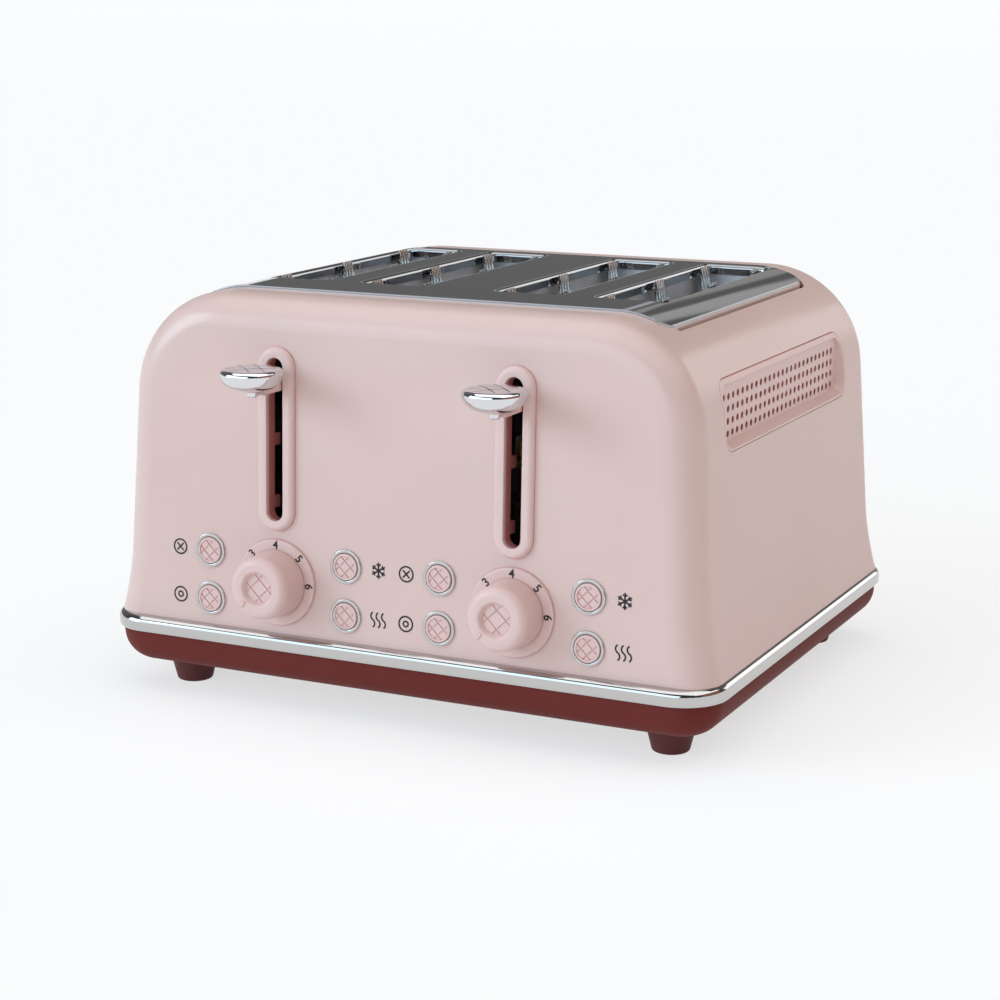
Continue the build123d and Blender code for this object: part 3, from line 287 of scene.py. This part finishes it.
polish = addNode(tree, "ShaderNodeMapRange", inputs={
    "To Min": deckSheet["gloss"][0], "To Max": deckSheet["gloss"][1]}, links={"Value": lines.outputs["Fac"]})
tree.links.new(polish.outputs["Result"], shader.inputs["Roughness"])
skin = addNode(tree, "ShaderNodeBump", inputs={
    "Strength": deckSheet["lineStrength"], "Distance": deckSheet["lineLift"] * mm},
    links={"Height": lines.outputs["Fac"]})
tree.links.new(skin.outputs["Normal"], shader.inputs["Normal"])

# bright-annealed stainless: smooth drawn sheet and wire, slightly warm, soft mirror
drawn = {"white": "#D9D8D5", "heat": "#C9B690", "patch": 35, "line": 0.6, "run": 25,
         "warmFrom": 0.5, "warmTo": 0.75, "warmest": 0.6, "gloss": (0.1, 0.2)}
brightSteel, tree, shader, place = startMaterial("brightAnnealedStainless", {"Metallic": 1.0})
patch = addNode(tree, "ShaderNodeTexNoise", inputs={"Scale": perMetre(drawn["patch"]), "Detail": 3.0},
                links={"Vector": place})
warmth = addNode(tree, "ShaderNodeMapRange", inputs={
    "From Min": drawn["warmFrom"], "From Max": drawn["warmTo"], "To Max": drawn["warmest"]},
    links={"Value": patch.outputs["Fac"]})
tone = addNode(tree, "ShaderNodeMix", {"data_type": "RGBA"},
               {"A": linear(drawn["white"]), "B": linear(drawn["heat"])},
               {"Factor": warmth.outputs["Result"]})
tree.links.new(tone.outputs["Result"], shader.inputs["Base Color"])
stretch = addNode(tree, "ShaderNodeMapping", inputs={
    "Scale": (perMetre(drawn["line"]), perMetre(drawn["line"]), perMetre(drawn["run"]))},
    links={"Vector": place})
lines = addNode(tree, "ShaderNodeTexNoise", inputs={"Scale": 1.0, "Detail": 2.0},
                links={"Vector": stretch.outputs["Vector"]})
polish = addNode(tree, "ShaderNodeMapRange", inputs={
    "To Min": drawn["gloss"][0], "To Max": drawn["gloss"][1]}, links={"Value": lines.outputs["Fac"]})
tree.links.new(polish.outputs["Result"], shader.inputs["Roughness"])

# hot-dip aluminised sheet for the slot sleeves: pale satin silver that scatters the light from above
sleeve = {"silver": "#E6E6E8", "grey": "#D2D2D6", "bloom": 12, "gloss": (0.55, 0.7)}
aluminisedSheet, tree, shader, place = startMaterial("aluminisedSheet", {"Metallic": 1.0})
bloom = addNode(tree, "ShaderNodeTexNoise", inputs={"Scale": perMetre(sleeve["bloom"]), "Detail": 3.0},
                links={"Vector": place})
tone = addNode(tree, "ShaderNodeMix", {"data_type": "RGBA"},
               {"A": linear(sleeve["silver"]), "B": linear(sleeve["grey"])},
               {"Factor": bloom.outputs["Fac"]})
tree.links.new(tone.outputs["Result"], shader.inputs["Base Color"])
polish = addNode(tree, "ShaderNodeMapRange", inputs={
    "To Min": sleeve["gloss"][0], "To Max": sleeve["gloss"][1]}, links={"Value": bloom.outputs["Fac"]})
tree.links.new(polish.outputs["Result"], shader.inputs["Roughness"])

# hot-dip zinc on folded sheet: matt blue-grey with spangle a few millimetres across
zinc = {"grey": "#B7BABD", "greyShade": "#9DA1A6", "spangle": 7, "gloss": (0.3, 0.45)}
zincSteel, tree, shader, place = startMaterial("hotDipZincSheet", {"Metallic": 1.0})
spangle = addNode(tree, "ShaderNodeTexVoronoi", inputs={"Scale": perMetre(zinc["spangle"])},
                  links={"Vector": place})
facet = addNode(tree, "ShaderNodeSeparateColor", links={"Color": spangle.outputs["Color"]})
tone = addNode(tree, "ShaderNodeMix", {"data_type": "RGBA"},
               {"A": linear(zinc["grey"]), "B": linear(zinc["greyShade"])},
               {"Factor": facet.outputs["Red"]})
tree.links.new(tone.outputs["Result"], shader.inputs["Base Color"])
polish = addNode(tree, "ShaderNodeMapRange", inputs={
    "To Min": zinc["gloss"][0], "To Max": zinc["gloss"][1]}, links={"Value": facet.outputs["Green"]})
tree.links.new(polish.outputs["Result"], shader.inputs["Roughness"])

# low-carbon sheet coloured in the heat: dull red-brown oxide with straw patches, also kept dark and reddish
# as painted shade seen through the vent holes
shield = {"brown": "#8A4A40", "straw": "#9A6650", "bloom": 30, "gloss": (0.4, 0.55)}
heatTintAndHoleShadeSteel, tree, shader, place = startMaterial("heatTintedSheetWithHoleShade", {"Metallic": 1.0})
bloom = addNode(tree, "ShaderNodeTexNoise", inputs={"Scale": perMetre(shield["bloom"]), "Detail": 3.0},
                links={"Vector": place})
tone = addNode(tree, "ShaderNodeMix", {"data_type": "RGBA"},
               {"A": linear(shield["brown"]), "B": linear(shield["straw"])},
               {"Factor": bloom.outputs["Fac"]})
tree.links.new(tone.outputs["Result"], shader.inputs["Base Color"])
polish = addNode(tree, "ShaderNodeMapRange", inputs={
    "To Min": shield["gloss"][0], "To Max": shield["gloss"][1]}, links={"Value": bloom.outputs["Fac"]})
tree.links.new(polish.outputs["Result"], shader.inputs["Roughness"])

# oil-tempered music wire: dark blue-grey, patchy where the oil burnt off
wire = {"grey": "#8C8C8E", "blue": "#6E727A", "patch": 4, "gloss": (0.2, 0.35)}
springSteel, tree, shader, place = startMaterial("oilTemperedWire", {"Metallic": 1.0})
patch = addNode(tree, "ShaderNodeTexNoise", inputs={"Scale": perMetre(wire["patch"]), "Detail": 3.0},
                links={"Vector": place})
tone = addNode(tree, "ShaderNodeMix", {"data_type": "RGBA"},
               {"A": linear(wire["grey"]), "B": linear(wire["blue"])},
               {"Factor": patch.outputs["Fac"]})
tree.links.new(tone.outputs["Result"], shader.inputs["Base Color"])
polish = addNode(tree, "ShaderNodeMapRange", inputs={
    "To Min": wire["gloss"][0], "To Max": wire["gloss"][1]}, links={"Value": patch.outputs["Fac"]})
tree.links.new(polish.outputs["Result"], shader.inputs["Roughness"])

# pressed mica sheet: pale amber flakes, pearly, with grey nichrome ribbon laid across it
card = {"amber": "#C7A865", "amberShade": "#A88646", "ribbon": "#77726B", "flake": 3.5,
        "ribbonPitch": 10.2, "ribbonWidth": 1.4, "ribbonHalf": 0.55, "firstRibbon": 72.2,
        "gloss": (0.25, 0.4)}
micaSheet, tree, shader, place = startMaterial("pressedMicaSheet", {"IOR": 1.58})
flake = addNode(tree, "ShaderNodeTexVoronoi", inputs={"Scale": perMetre(card["flake"])},
                links={"Vector": place})
facet = addNode(tree, "ShaderNodeSeparateColor", links={"Color": flake.outputs["Color"]})
tone = addNode(tree, "ShaderNodeMix", {"data_type": "RGBA"},
               {"A": linear(card["amber"]), "B": linear(card["amberShade"])},
               {"Factor": facet.outputs["Red"]})
height = addNode(tree, "ShaderNodeSeparateXYZ", links={"Vector": place})
lowestRibbon = card["firstRibbon"] - card["ribbonPitch"] / 2
rise = addNode(tree, "ShaderNodeMath", {"operation": "SUBTRACT"}, {1: lowestRibbon * mm},
               {0: height.outputs["Z"]})
step = addNode(tree, "ShaderNodeMath", {"operation": "MODULO"}, {1: card["ribbonPitch"] * mm},
               {0: rise.outputs["Value"]})
onRibbon = addNode(tree, "ShaderNodeMath", {"operation": "COMPARE"},
                   {1: card["ribbonPitch"] / 2 * mm, 2: card["ribbonWidth"] * card["ribbonHalf"] * mm},
                   {0: step.outputs["Value"]})
wound = addNode(tree, "ShaderNodeMix", {"data_type": "RGBA"}, {"B": linear(card["ribbon"])},
                {"Factor": onRibbon.outputs["Value"], "A": tone.outputs["Result"]})
tree.links.new(wound.outputs["Result"], shader.inputs["Base Color"])
tree.links.new(onRibbon.outputs["Value"], shader.inputs["Metallic"])
polish = addNode(tree, "ShaderNodeMapRange", inputs={
    "To Min": card["gloss"][0], "To Max": card["gloss"][1]}, links={"Value": facet.outputs["Green"]})
tree.links.new(polish.outputs["Result"], shader.inputs["Roughness"])

# glass-epoxy board under green solder mask: glossy green with copper tracks showing paler through it
board = {"mask": "#1E4A2C", "track": "#2F6A3F", "pitch": 2.6, "rowsApart": 4, "trackShare": 0.06}
circuitBoard, tree, shader, place = startMaterial("solderMaskBoard", {"IOR": 1.55, "Roughness": 0.3})
tracks = addNode(tree, "ShaderNodeTexBrick", inputs={
    "Color1": linear(board["mask"]), "Color2": linear(board["mask"]), "Mortar": linear(board["track"]),
    "Scale": perMetre(board["pitch"] * board["rowsApart"]), "Mortar Size": board["trackShare"]},
    links={"Vector": place})
tree.links.new(tracks.outputs["Color"], shader.inputs["Base Color"])

# glass-filled nylon: near black, matt, with short fibre streaks in the skin
nylon = {"black": "#1B1A1B", "streak": "#2A292A", "fibre": 0.8, "run": 4, "gloss": (0.4, 0.6)}
blackPlastic, tree, shader, place = startMaterial("glassFilledNylonBlack", {"IOR": 1.53})
stretch = addNode(tree, "ShaderNodeMapping", inputs={
    "Scale": (perMetre(nylon["fibre"]), perMetre(nylon["run"]), perMetre(nylon["fibre"]))},
    links={"Vector": place})
streak = addNode(tree, "ShaderNodeTexNoise", inputs={"Scale": 1.0, "Detail": 2.0},
                 links={"Vector": stretch.outputs["Vector"]})
tone = addNode(tree, "ShaderNodeMix", {"data_type": "RGBA"},
               {"A": linear(nylon["black"]), "B": linear(nylon["streak"])},
               {"Factor": streak.outputs["Fac"]})
tree.links.new(tone.outputs["Result"], shader.inputs["Base Color"])
polish = addNode(tree, "ShaderNodeMapRange", inputs={
    "To Min": nylon["gloss"][0], "To Max": nylon["gloss"][1]}, links={"Value": streak.outputs["Fac"]})
tree.links.new(polish.outputs["Result"], shader.inputs["Roughness"])

# pad-printed two-part ink: flat soft black, slightly thinner in places
ink = {"black": "#191617", "thin": "#262122", "thinning": 0.7}
printInk, tree, shader, place = startMaterial("padPrintInk", {"IOR": 1.48, "Roughness": 0.5})
thin = addNode(tree, "ShaderNodeTexNoise", inputs={"Scale": perMetre(ink["thinning"]), "Detail": 2.0},
               links={"Vector": place})
tone = addNode(tree, "ShaderNodeMix", {"data_type": "RGBA"},
               {"A": linear(ink["black"]), "B": linear(ink["thin"])},
               {"Factor": thin.outputs["Fac"]})
tree.links.new(tone.outputs["Result"], shader.inputs["Base Color"])
print("materials made:", len(bpy.data.materials))

# which finish each CAD node takes; the first matching start of a name counts
finishes = {
    "body_shell": pinkLacquer, "lever_bezel": openingShadeMaterials["Frame"], "dial_plates": pinkMoulding,
    "vent_grille_left": openingShadeMaterials["VentLeft"], "vent_grille_right": openingShadeMaterials["VentRight"],
    "button_rings": nickelPlate, "button_": pinkMoulding,
    "browning_knob": pinkMoulding, "top_deck": brushedSteel, "slot_liners": aluminisedSheet,
    "chrome_band": nickelPlate, "base_pan": burgundyMoulding, "feet": burgundyRubber,
    "base_screws": zincSteel, "chassis": zincSteel, "heat_shields": heatTintAndHoleShadeSteel,
    "heater": micaSheet, "guide_rods": brightSteel, "bread_guide": brightSteel,
    "lever_cap": chrome, "lever_arm": pinkMoulding, "lever_screw": chrome, "carriage": zincSteel,
    "bread_racks": brightSteel, "return_spring": springSteel, "latch_magnets": zincSteel,
    "control_board": circuitBoard, "browning_pots": blackPlastic, "tact_switches": blackPlastic,
    "crumb_tray": brightSteel, "tray_handle": burgundyMoulding, "cord_inlet": blackPlastic,
}
for name, node in nodes.items():
    finish = next(finishes[start] for start in finishes if name.startswith(start))
    node.data.materials.clear()
    node.data.materials.append(finish)
print("CAD nodes finished")

# front panel frame: x across, rise up the leaning panel, out from it
panelFrame = Matrix.Translation(panelFoot) @ Matrix((
    (1, 0, 0, 0),
    (0, math.sin(panelLean), -math.cos(panelLean), 0),
    (0, math.cos(panelLean), math.sin(panelLean), 0),
    (0, 0, 0, 1)))


def addPiece(name, mesh, finish, body, smooth=False):
    mesh.materials.append(finish)
    if smooth:
        mesh.shade_smooth()
    piece = bpy.data.objects.new(name, mesh)
    scene.collection.objects.link(piece)
    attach(piece, body)
    return piece


# generic pictograms printed beside the buttons; shares are of the mark's size
marks = {"size": 3.6, "line": 0.85, "reach": 17.6, "upper": 37.0, "lower": 13.0, "spread": 38.0,
         "lift": 0.01, "thickness": 0.06, "ringSteps": 36, "crossHalf": 0.5,
         "holeShare": 0.36, "holeSteps": 24,
         "armTurn": 30, "armShare": 1.1, "forkAt": 0.6, "forkShare": 0.42, "forkLine": 0.8, "forkBend": 50,
         "waveApart": 0.8, "waveBend": 0.5, "waveRadius": 1.15, "waveLow": 0.6, "waveHigh": 0.55,
         "waveSteps": 10}


def printMesh(name, outlines, out, frameMatrix):
    # flat print: each outline in millimetres becomes a thin plate standing on the panel
    flat = bmesh.new()
    for outline in outlines:
        ring = [flat.verts.new((x * mm, y * mm, out * mm)) for x, y in outline]
        face = flat.faces.new(ring)
        lifted = bmesh.ops.extrude_face_region(flat, geom=[face])["geom"]
        bmesh.ops.translate(flat, vec=(0, 0, marks["thickness"] * mm),
                            verts=[v for v in lifted if isinstance(v, bmesh.types.BMVert)])
    bmesh.ops.recalc_face_normals(flat, faces=flat.faces)
    mesh = bpy.data.meshes.new(name)
    flat.to_mesh(mesh)
    flat.free()
    mesh.transform(frameMatrix)
    return mesh


def stroke(start, end, width):
    # a straight line with square ends
    along = (Vector(end) - Vector(start)).normalized()
    across = Vector((-along.y, along.x)) * width / 2
    return [tuple(Vector(start) - across), tuple(Vector(end) - across),
            tuple(Vector(end) + across), tuple(Vector(start) + across)]


def arcStrip(centre, radius, fromAngle, toAngle, width, steps):
    # part of a ring, as a run of four-cornered outlines
    strip = []
    for i in range(steps):
        a = math.radians(fromAngle + (toAngle - fromAngle) * i / steps)
        b = math.radians(fromAngle + (toAngle - fromAngle) * (i + 1) / steps)
        inner, outer = radius - width / 2, radius + width / 2
        strip.append([(centre[0] + r * math.cos(t), centre[1] + r * math.sin(t))
                      for r, t in ((inner, a), (outer, a), (outer, b), (inner, b))])
    return strip


def stopMark(x, y):
    half = marks["size"] * marks["crossHalf"]
    cross = [stroke((x - half, y - half), (x + half, y + half), marks["line"]),
             stroke((x - half, y + half), (x + half, y - half), marks["line"])]
    return cross + arcStrip((x, y), marks["size"], 0, 360, marks["line"], marks["ringSteps"])


def bagelMark(x, y):
    hole = marks["size"] * marks["holeShare"]
    return (arcStrip((x, y), marks["size"], 0, 360, marks["line"], marks["ringSteps"])
            + arcStrip((x, y), hole, 0, 360, marks["line"], marks["holeSteps"]))


def thawMark(x, y):
    flakes = []
    centre = Vector((x, y))
    for turn in range(marks["armTurn"], 360, 60):
        arm = Vector((math.cos(math.radians(turn)), math.sin(math.radians(turn))))
        flakes.append(stroke(centre, centre + arm * marks["size"] * marks["armShare"], marks["line"]))
        fork = centre + arm * marks["size"] * marks["forkAt"]
        for bend in (-marks["forkBend"], marks["forkBend"]):
            tip = Vector((math.cos(math.radians(turn + bend)), math.sin(math.radians(turn + bend))))
            flakes.append(stroke(fork, fork + tip * marks["size"] * marks["forkShare"],
                                 marks["line"] * marks["forkLine"]))
    return flakes


def reheatMark(x, y):
    waves = []
    bend = marks["size"] * marks["waveBend"]
    radius = bend * marks["waveRadius"]
    for across in (-marks["waveApart"], 0, marks["waveApart"]):
        foot = x + across * marks["size"]
        waves += arcStrip((foot - bend * marks["waveLow"], y - bend), radius, -60, 60, marks["line"],
                          marks["waveSteps"])
        waves += arcStrip((foot + bend * marks["waveHigh"], y + bend), radius, 120, 240, marks["line"],
                          marks["waveSteps"])
    return waves


markRows = {"stop": stopMark, "bagel": bagelMark, "thaw": thawMark, "reheat": reheatMark}
markPlaces = {"stop": (-1, "upper"), "bagel": (-1, "lower"), "thaw": (1, "upper"), "reheat": (1, "lower")}
for side, sign in sides.items():
    for kind, (step, row) in markPlaces.items():
        x = sign * panel["leverPitch"] / 2 + step * (marks["spread"] + marks["reach"])
        mesh = printMesh("mark_" + kind, markRows[kind](x, marks[row]), marks["lift"], panelFrame)
        addPiece("mark_" + kind + "_" + side, mesh, printInk, "housing")
print("button marks printed")

# numbers round the dials, tops outwards, 45 degrees apart
dial = {"rise": 25.3, "face": 1.8, "radius": 18.4, "size": 5.8, "bold": 0.12, "thickness": 0.05,
        "first": 225.0, "step": -45.0, "count": 6}
for side, sign in sides.items():
    ring = bmesh.new()
    for index in range(dial["count"]):
        curve = bpy.data.curves.new("number", "FONT")
        curve.body = str(index + 1)
        curve.size = dial["size"] * mm
        curve.offset = dial["bold"] * mm
        curve.extrude = dial["thickness"] * mm / 2
        curve.align_x, curve.align_y = "CENTER", "CENTER"
        figure = bpy.data.objects.new("number", curve)
        scene.collection.objects.link(figure)
        bpy.context.view_layer.update()
        mesh = bpy.data.meshes.new_from_object(figure.evaluated_get(bpy.context.evaluated_depsgraph_get()))
        turn = math.radians(dial["first"] + dial["step"] * index)
        lift = (dial["face"] + dial["thickness"]) * mm
        mesh.transform(Matrix.Translation((
            sign * panel["leverPitch"] / 2 * mm + dial["radius"] * mm * math.cos(turn),
            dial["rise"] * mm + dial["radius"] * mm * math.sin(turn), lift))
            @ Matrix.Rotation(turn - math.pi / 2, 4, "Z"))
        ring.from_mesh(mesh)
        bpy.data.objects.remove(figure)
        bpy.data.meshes.remove(mesh)
    numbers = bpy.data.meshes.new("dial_numbers")
    ring.to_mesh(numbers)
    ring.free()
    numbers.transform(panelFrame)
    addPiece("dial_numbers_" + side, numbers, printInk, "housing")
print("dial numbers printed")

# return springs: closed end turns and a shortening coil, wound where the CAD spring stands
spring = {"radius": 4.1, "wire": 0.55, "turns": 9, "ringPoints": 12, "turnPoints": 40,
          "closing": 0.35, "travel": 58.0}
for side in sides:
    lowest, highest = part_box("return_spring_" + side)
    middle = (lowest + highest) / 2
    foot, top = lowest.z + spring["wire"] * mm, highest.z - spring["wire"] * mm
    steps = spring["turns"] * spring["turnPoints"]
    coil = bmesh.new()
    rings = []
    for i in range(steps + 1):
        share = i / steps
        turn = 2 * math.pi * spring["turns"] * share
        closing = share - spring["closing"] * math.sin(2 * math.pi * share) / (2 * math.pi)
        rise = foot + (top - foot) * closing
        outward = Vector((math.cos(turn), math.sin(turn), 0))
        rings.append([coil.verts.new(
            Vector((middle.x, middle.y, rise)) + outward * spring["radius"] * mm
            + (outward * math.cos(a) + Vector((0, 0, 1)) * math.sin(a)) * spring["wire"] * mm)
            for a in (2 * math.pi * k / spring["ringPoints"] for k in range(spring["ringPoints"]))])
    for before, after in zip(rings, rings[1:]):
        for k in range(spring["ringPoints"]):
            n = (k + 1) % spring["ringPoints"]
            coil.faces.new((before[k], before[n], after[n], after[k]))
    coil.faces.new(rings[0])
    coil.faces.new(rings[-1])
    bmesh.ops.recalc_face_normals(coil, faces=coil.faces)
    mesh = bpy.data.meshes.new("spring_coil")
    coil.to_mesh(mesh)
    coil.free()
    piece = addPiece("spring_coil_" + side, mesh, springSteel, "housing", smooth=True)
    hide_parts("return_spring_" + side)
    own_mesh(piece)
print("springs wound")

# matt white paper sweep: plain, with no pattern of its own, turned up a little at its far edge; in metres
sweep = {"flat": 8.0, "edge": 14.0, "rise": 1.35, "steps": 8, "sides": 96,
         "white": "#FBFBFB", "rough": 0.9, "whiteShare": 0.65}
paperSheet = bmesh.new()
rings = []
for step in range(sweep["steps"] + 1):
    share = step / sweep["steps"]
    radius = sweep["flat"] + (sweep["edge"] - sweep["flat"]) * share
    height = sweep["rise"] * share ** 2
    rings.append([paperSheet.verts.new((radius * math.cos(turn), radius * math.sin(turn), height))
                  for turn in (2 * math.pi * k / sweep["sides"] for k in range(sweep["sides"]))])
paperSheet.faces.new(rings[0])
for inner, outer in zip(rings, rings[1:]):
    for k in range(sweep["sides"]):
        n = (k + 1) % sweep["sides"]
        paperSheet.faces.new((inner[k], outer[k], outer[n], inner[n]))
sheetMesh = bpy.data.meshes.new("floor")
paperSheet.to_mesh(sheetMesh)
paperSheet.free()
paper, tree, shader, place = startMaterial("mattWhitePaper", {
    "Base Color": linear(sweep["white"]), "Roughness": sweep["rough"], "Specular IOR Level": 0.1})
rays = addNode(tree, "ShaderNodeLightPath")
seen = rays.outputs["Is Camera Ray"]
for kind in ("Is Glossy Ray", "Is Transmission Ray"):
    either = addNode(tree, "ShaderNodeMath", {"operation": "MAXIMUM"}, links={0: seen, 1: rays.outputs[kind]})
    seen = either.outputs["Value"]
share = addNode(tree, "ShaderNodeMath", {"operation": "MULTIPLY"}, {1: sweep["whiteShare"]}, {0: seen})
white = addNode(tree, "ShaderNodeEmission", inputs={"Strength": 1.0})
sheet = addNode(tree, "ShaderNodeMixShader", links={
    "Fac": share.outputs["Value"], 1: shader.outputs["BSDF"], 2: white.outputs["Emission"]})
tree.links.new(sheet.outputs["Shader"], tree.nodes["Material Output"].inputs["Surface"])
sheetMesh.materials.append(paper)
floor = bpy.data.objects.new("floor", sheetMesh)
scene.collection.objects.link(floor)

# soft boxes drawn in the sky: where they stand, half width and half height in degrees, edge, strength, tint
studio = {"dim": 0.05, "backdrop": 0.16, "away": (-0.44, 0.9, 0.1), "fadeFrom": 0.1, "fadeTo": 0.75,
          "nearest": 0.001}
softBoxes = {
    "overhead": {"to": (0.0, -0.1, 1.0), "wide": 36, "tall": 28,
                 "soft": 4, "strength": 1.5, "tint": "#FFFFFF"},
    "key": {"to": (-0.82, -0.57, 0.3), "wide": 13, "tall": 13,
            "soft": 4, "strength": 4.8, "tint": "#D4EDFF"},
    "front": {"to": (-0.35, -0.9, 0.32), "wide": 36, "tall": 15,
              "soft": 2, "strength": 2.35, "tint": "#D4EDFF"},
    "right": {"to": (1.0, 0.1, 0.4), "wide": 22, "tall": 16,
              "soft": 6, "strength": 0.3, "tint": "#FFA078"},
    "rightStrip": {"to": (0.9, 0.1, 0.95), "wide": 30, "tall": 5,
                   "soft": 2, "strength": 1.6, "tint": "#FFFFFF"},
    "behindRight": {"to": (0.4, 0.89, 0.26), "wide": 11, "tall": 8,
                    "soft": 4, "strength": 1.6, "tint": "#FFFFFF"},
    "blindLow": {"to": (-0.25, 0.93, 0.2), "wide": 30, "tall": 0.7,
                 "soft": 0.7, "strength": 0.4, "tint": "#F4F8FF"},
    "blindMiddle": {"to": (-0.25, 0.93, 0.27), "wide": 30, "tall": 0.9,
                    "soft": 0.7, "strength": 0.25, "tint": "#FFF8F0"},
    "blindHigh": {"to": (-0.25, 0.93, 0.36), "wide": 30, "tall": 1.0,
                  "soft": 0.8, "strength": 0.4, "tint": "#FFFFFF"},
}
world = bpy.data.worlds.new("studio")
scene.world = world
world.use_nodes = True
tree = world.node_tree
sky = tree.nodes["Background"]
direction = addNode(tree, "ShaderNodeTexCoord").outputs["Generated"]
behind = addNode(tree, "ShaderNodeVectorMath", {"operation": "DOT_PRODUCT"},
                 {1: Vector(studio["away"]).normalized()}, {0: direction})
total = addNode(tree, "ShaderNodeMapRange", inputs={
    "From Min": studio["fadeFrom"], "From Max": studio["fadeTo"],
    "To Min": studio["dim"], "To Max": studio["backdrop"]},
    links={"Value": behind.outputs["Value"]}).outputs["Result"]
for box in softBoxes.values():
    forward = Vector(box["to"]).normalized()
    across = Vector((-forward.y, forward.x, 0)).normalized()
    facing = addNode(tree, "ShaderNodeVectorMath", {"operation": "DOT_PRODUCT"}, {1: forward}, {0: direction})
    depth = addNode(tree, "ShaderNodeMath", {"operation": "MAXIMUM"}, {1: studio["nearest"]},
                    {0: facing.outputs["Value"]})
    lit = addNode(tree, "ShaderNodeValue")
    lit.outputs["Value"].default_value = box["strength"]
    for axis, half in ((across, box["wide"]), (forward.cross(across), box["tall"])):
        aside = addNode(tree, "ShaderNodeVectorMath", {"operation": "DOT_PRODUCT"}, {1: axis}, {0: direction})
        slope = addNode(tree, "ShaderNodeMath", {"operation": "DIVIDE"},
                        links={0: aside.outputs["Value"], 1: depth.outputs["Value"]})
        spread = addNode(tree, "ShaderNodeMath", {"operation": "ABSOLUTE"}, links={0: slope.outputs["Value"]})
        edge = addNode(tree, "ShaderNodeMapRange", {"interpolation_type": "SMOOTHSTEP"}, {
            "From Min": math.tan(math.radians(half + box["soft"])), "From Max": math.tan(math.radians(half))},
            {"Value": spread.outputs["Value"]})
        lit = addNode(tree, "ShaderNodeMath", {"operation": "MULTIPLY"},
                      links={0: lit.outputs["Value"], 1: edge.outputs["Result"]})
    glow = addNode(tree, "ShaderNodeVectorMath", {"operation": "SCALE"}, {0: linear(box["tint"])[:3]},
                   {"Scale": lit.outputs["Value"]})
    total = addNode(tree, "ShaderNodeVectorMath", {"operation": "ADD"},
                    links={0: total, 1: glow.outputs["Vector"]}).outputs["Vector"]
tree.links.new(total, sky.inputs["Color"])
print("studio set")
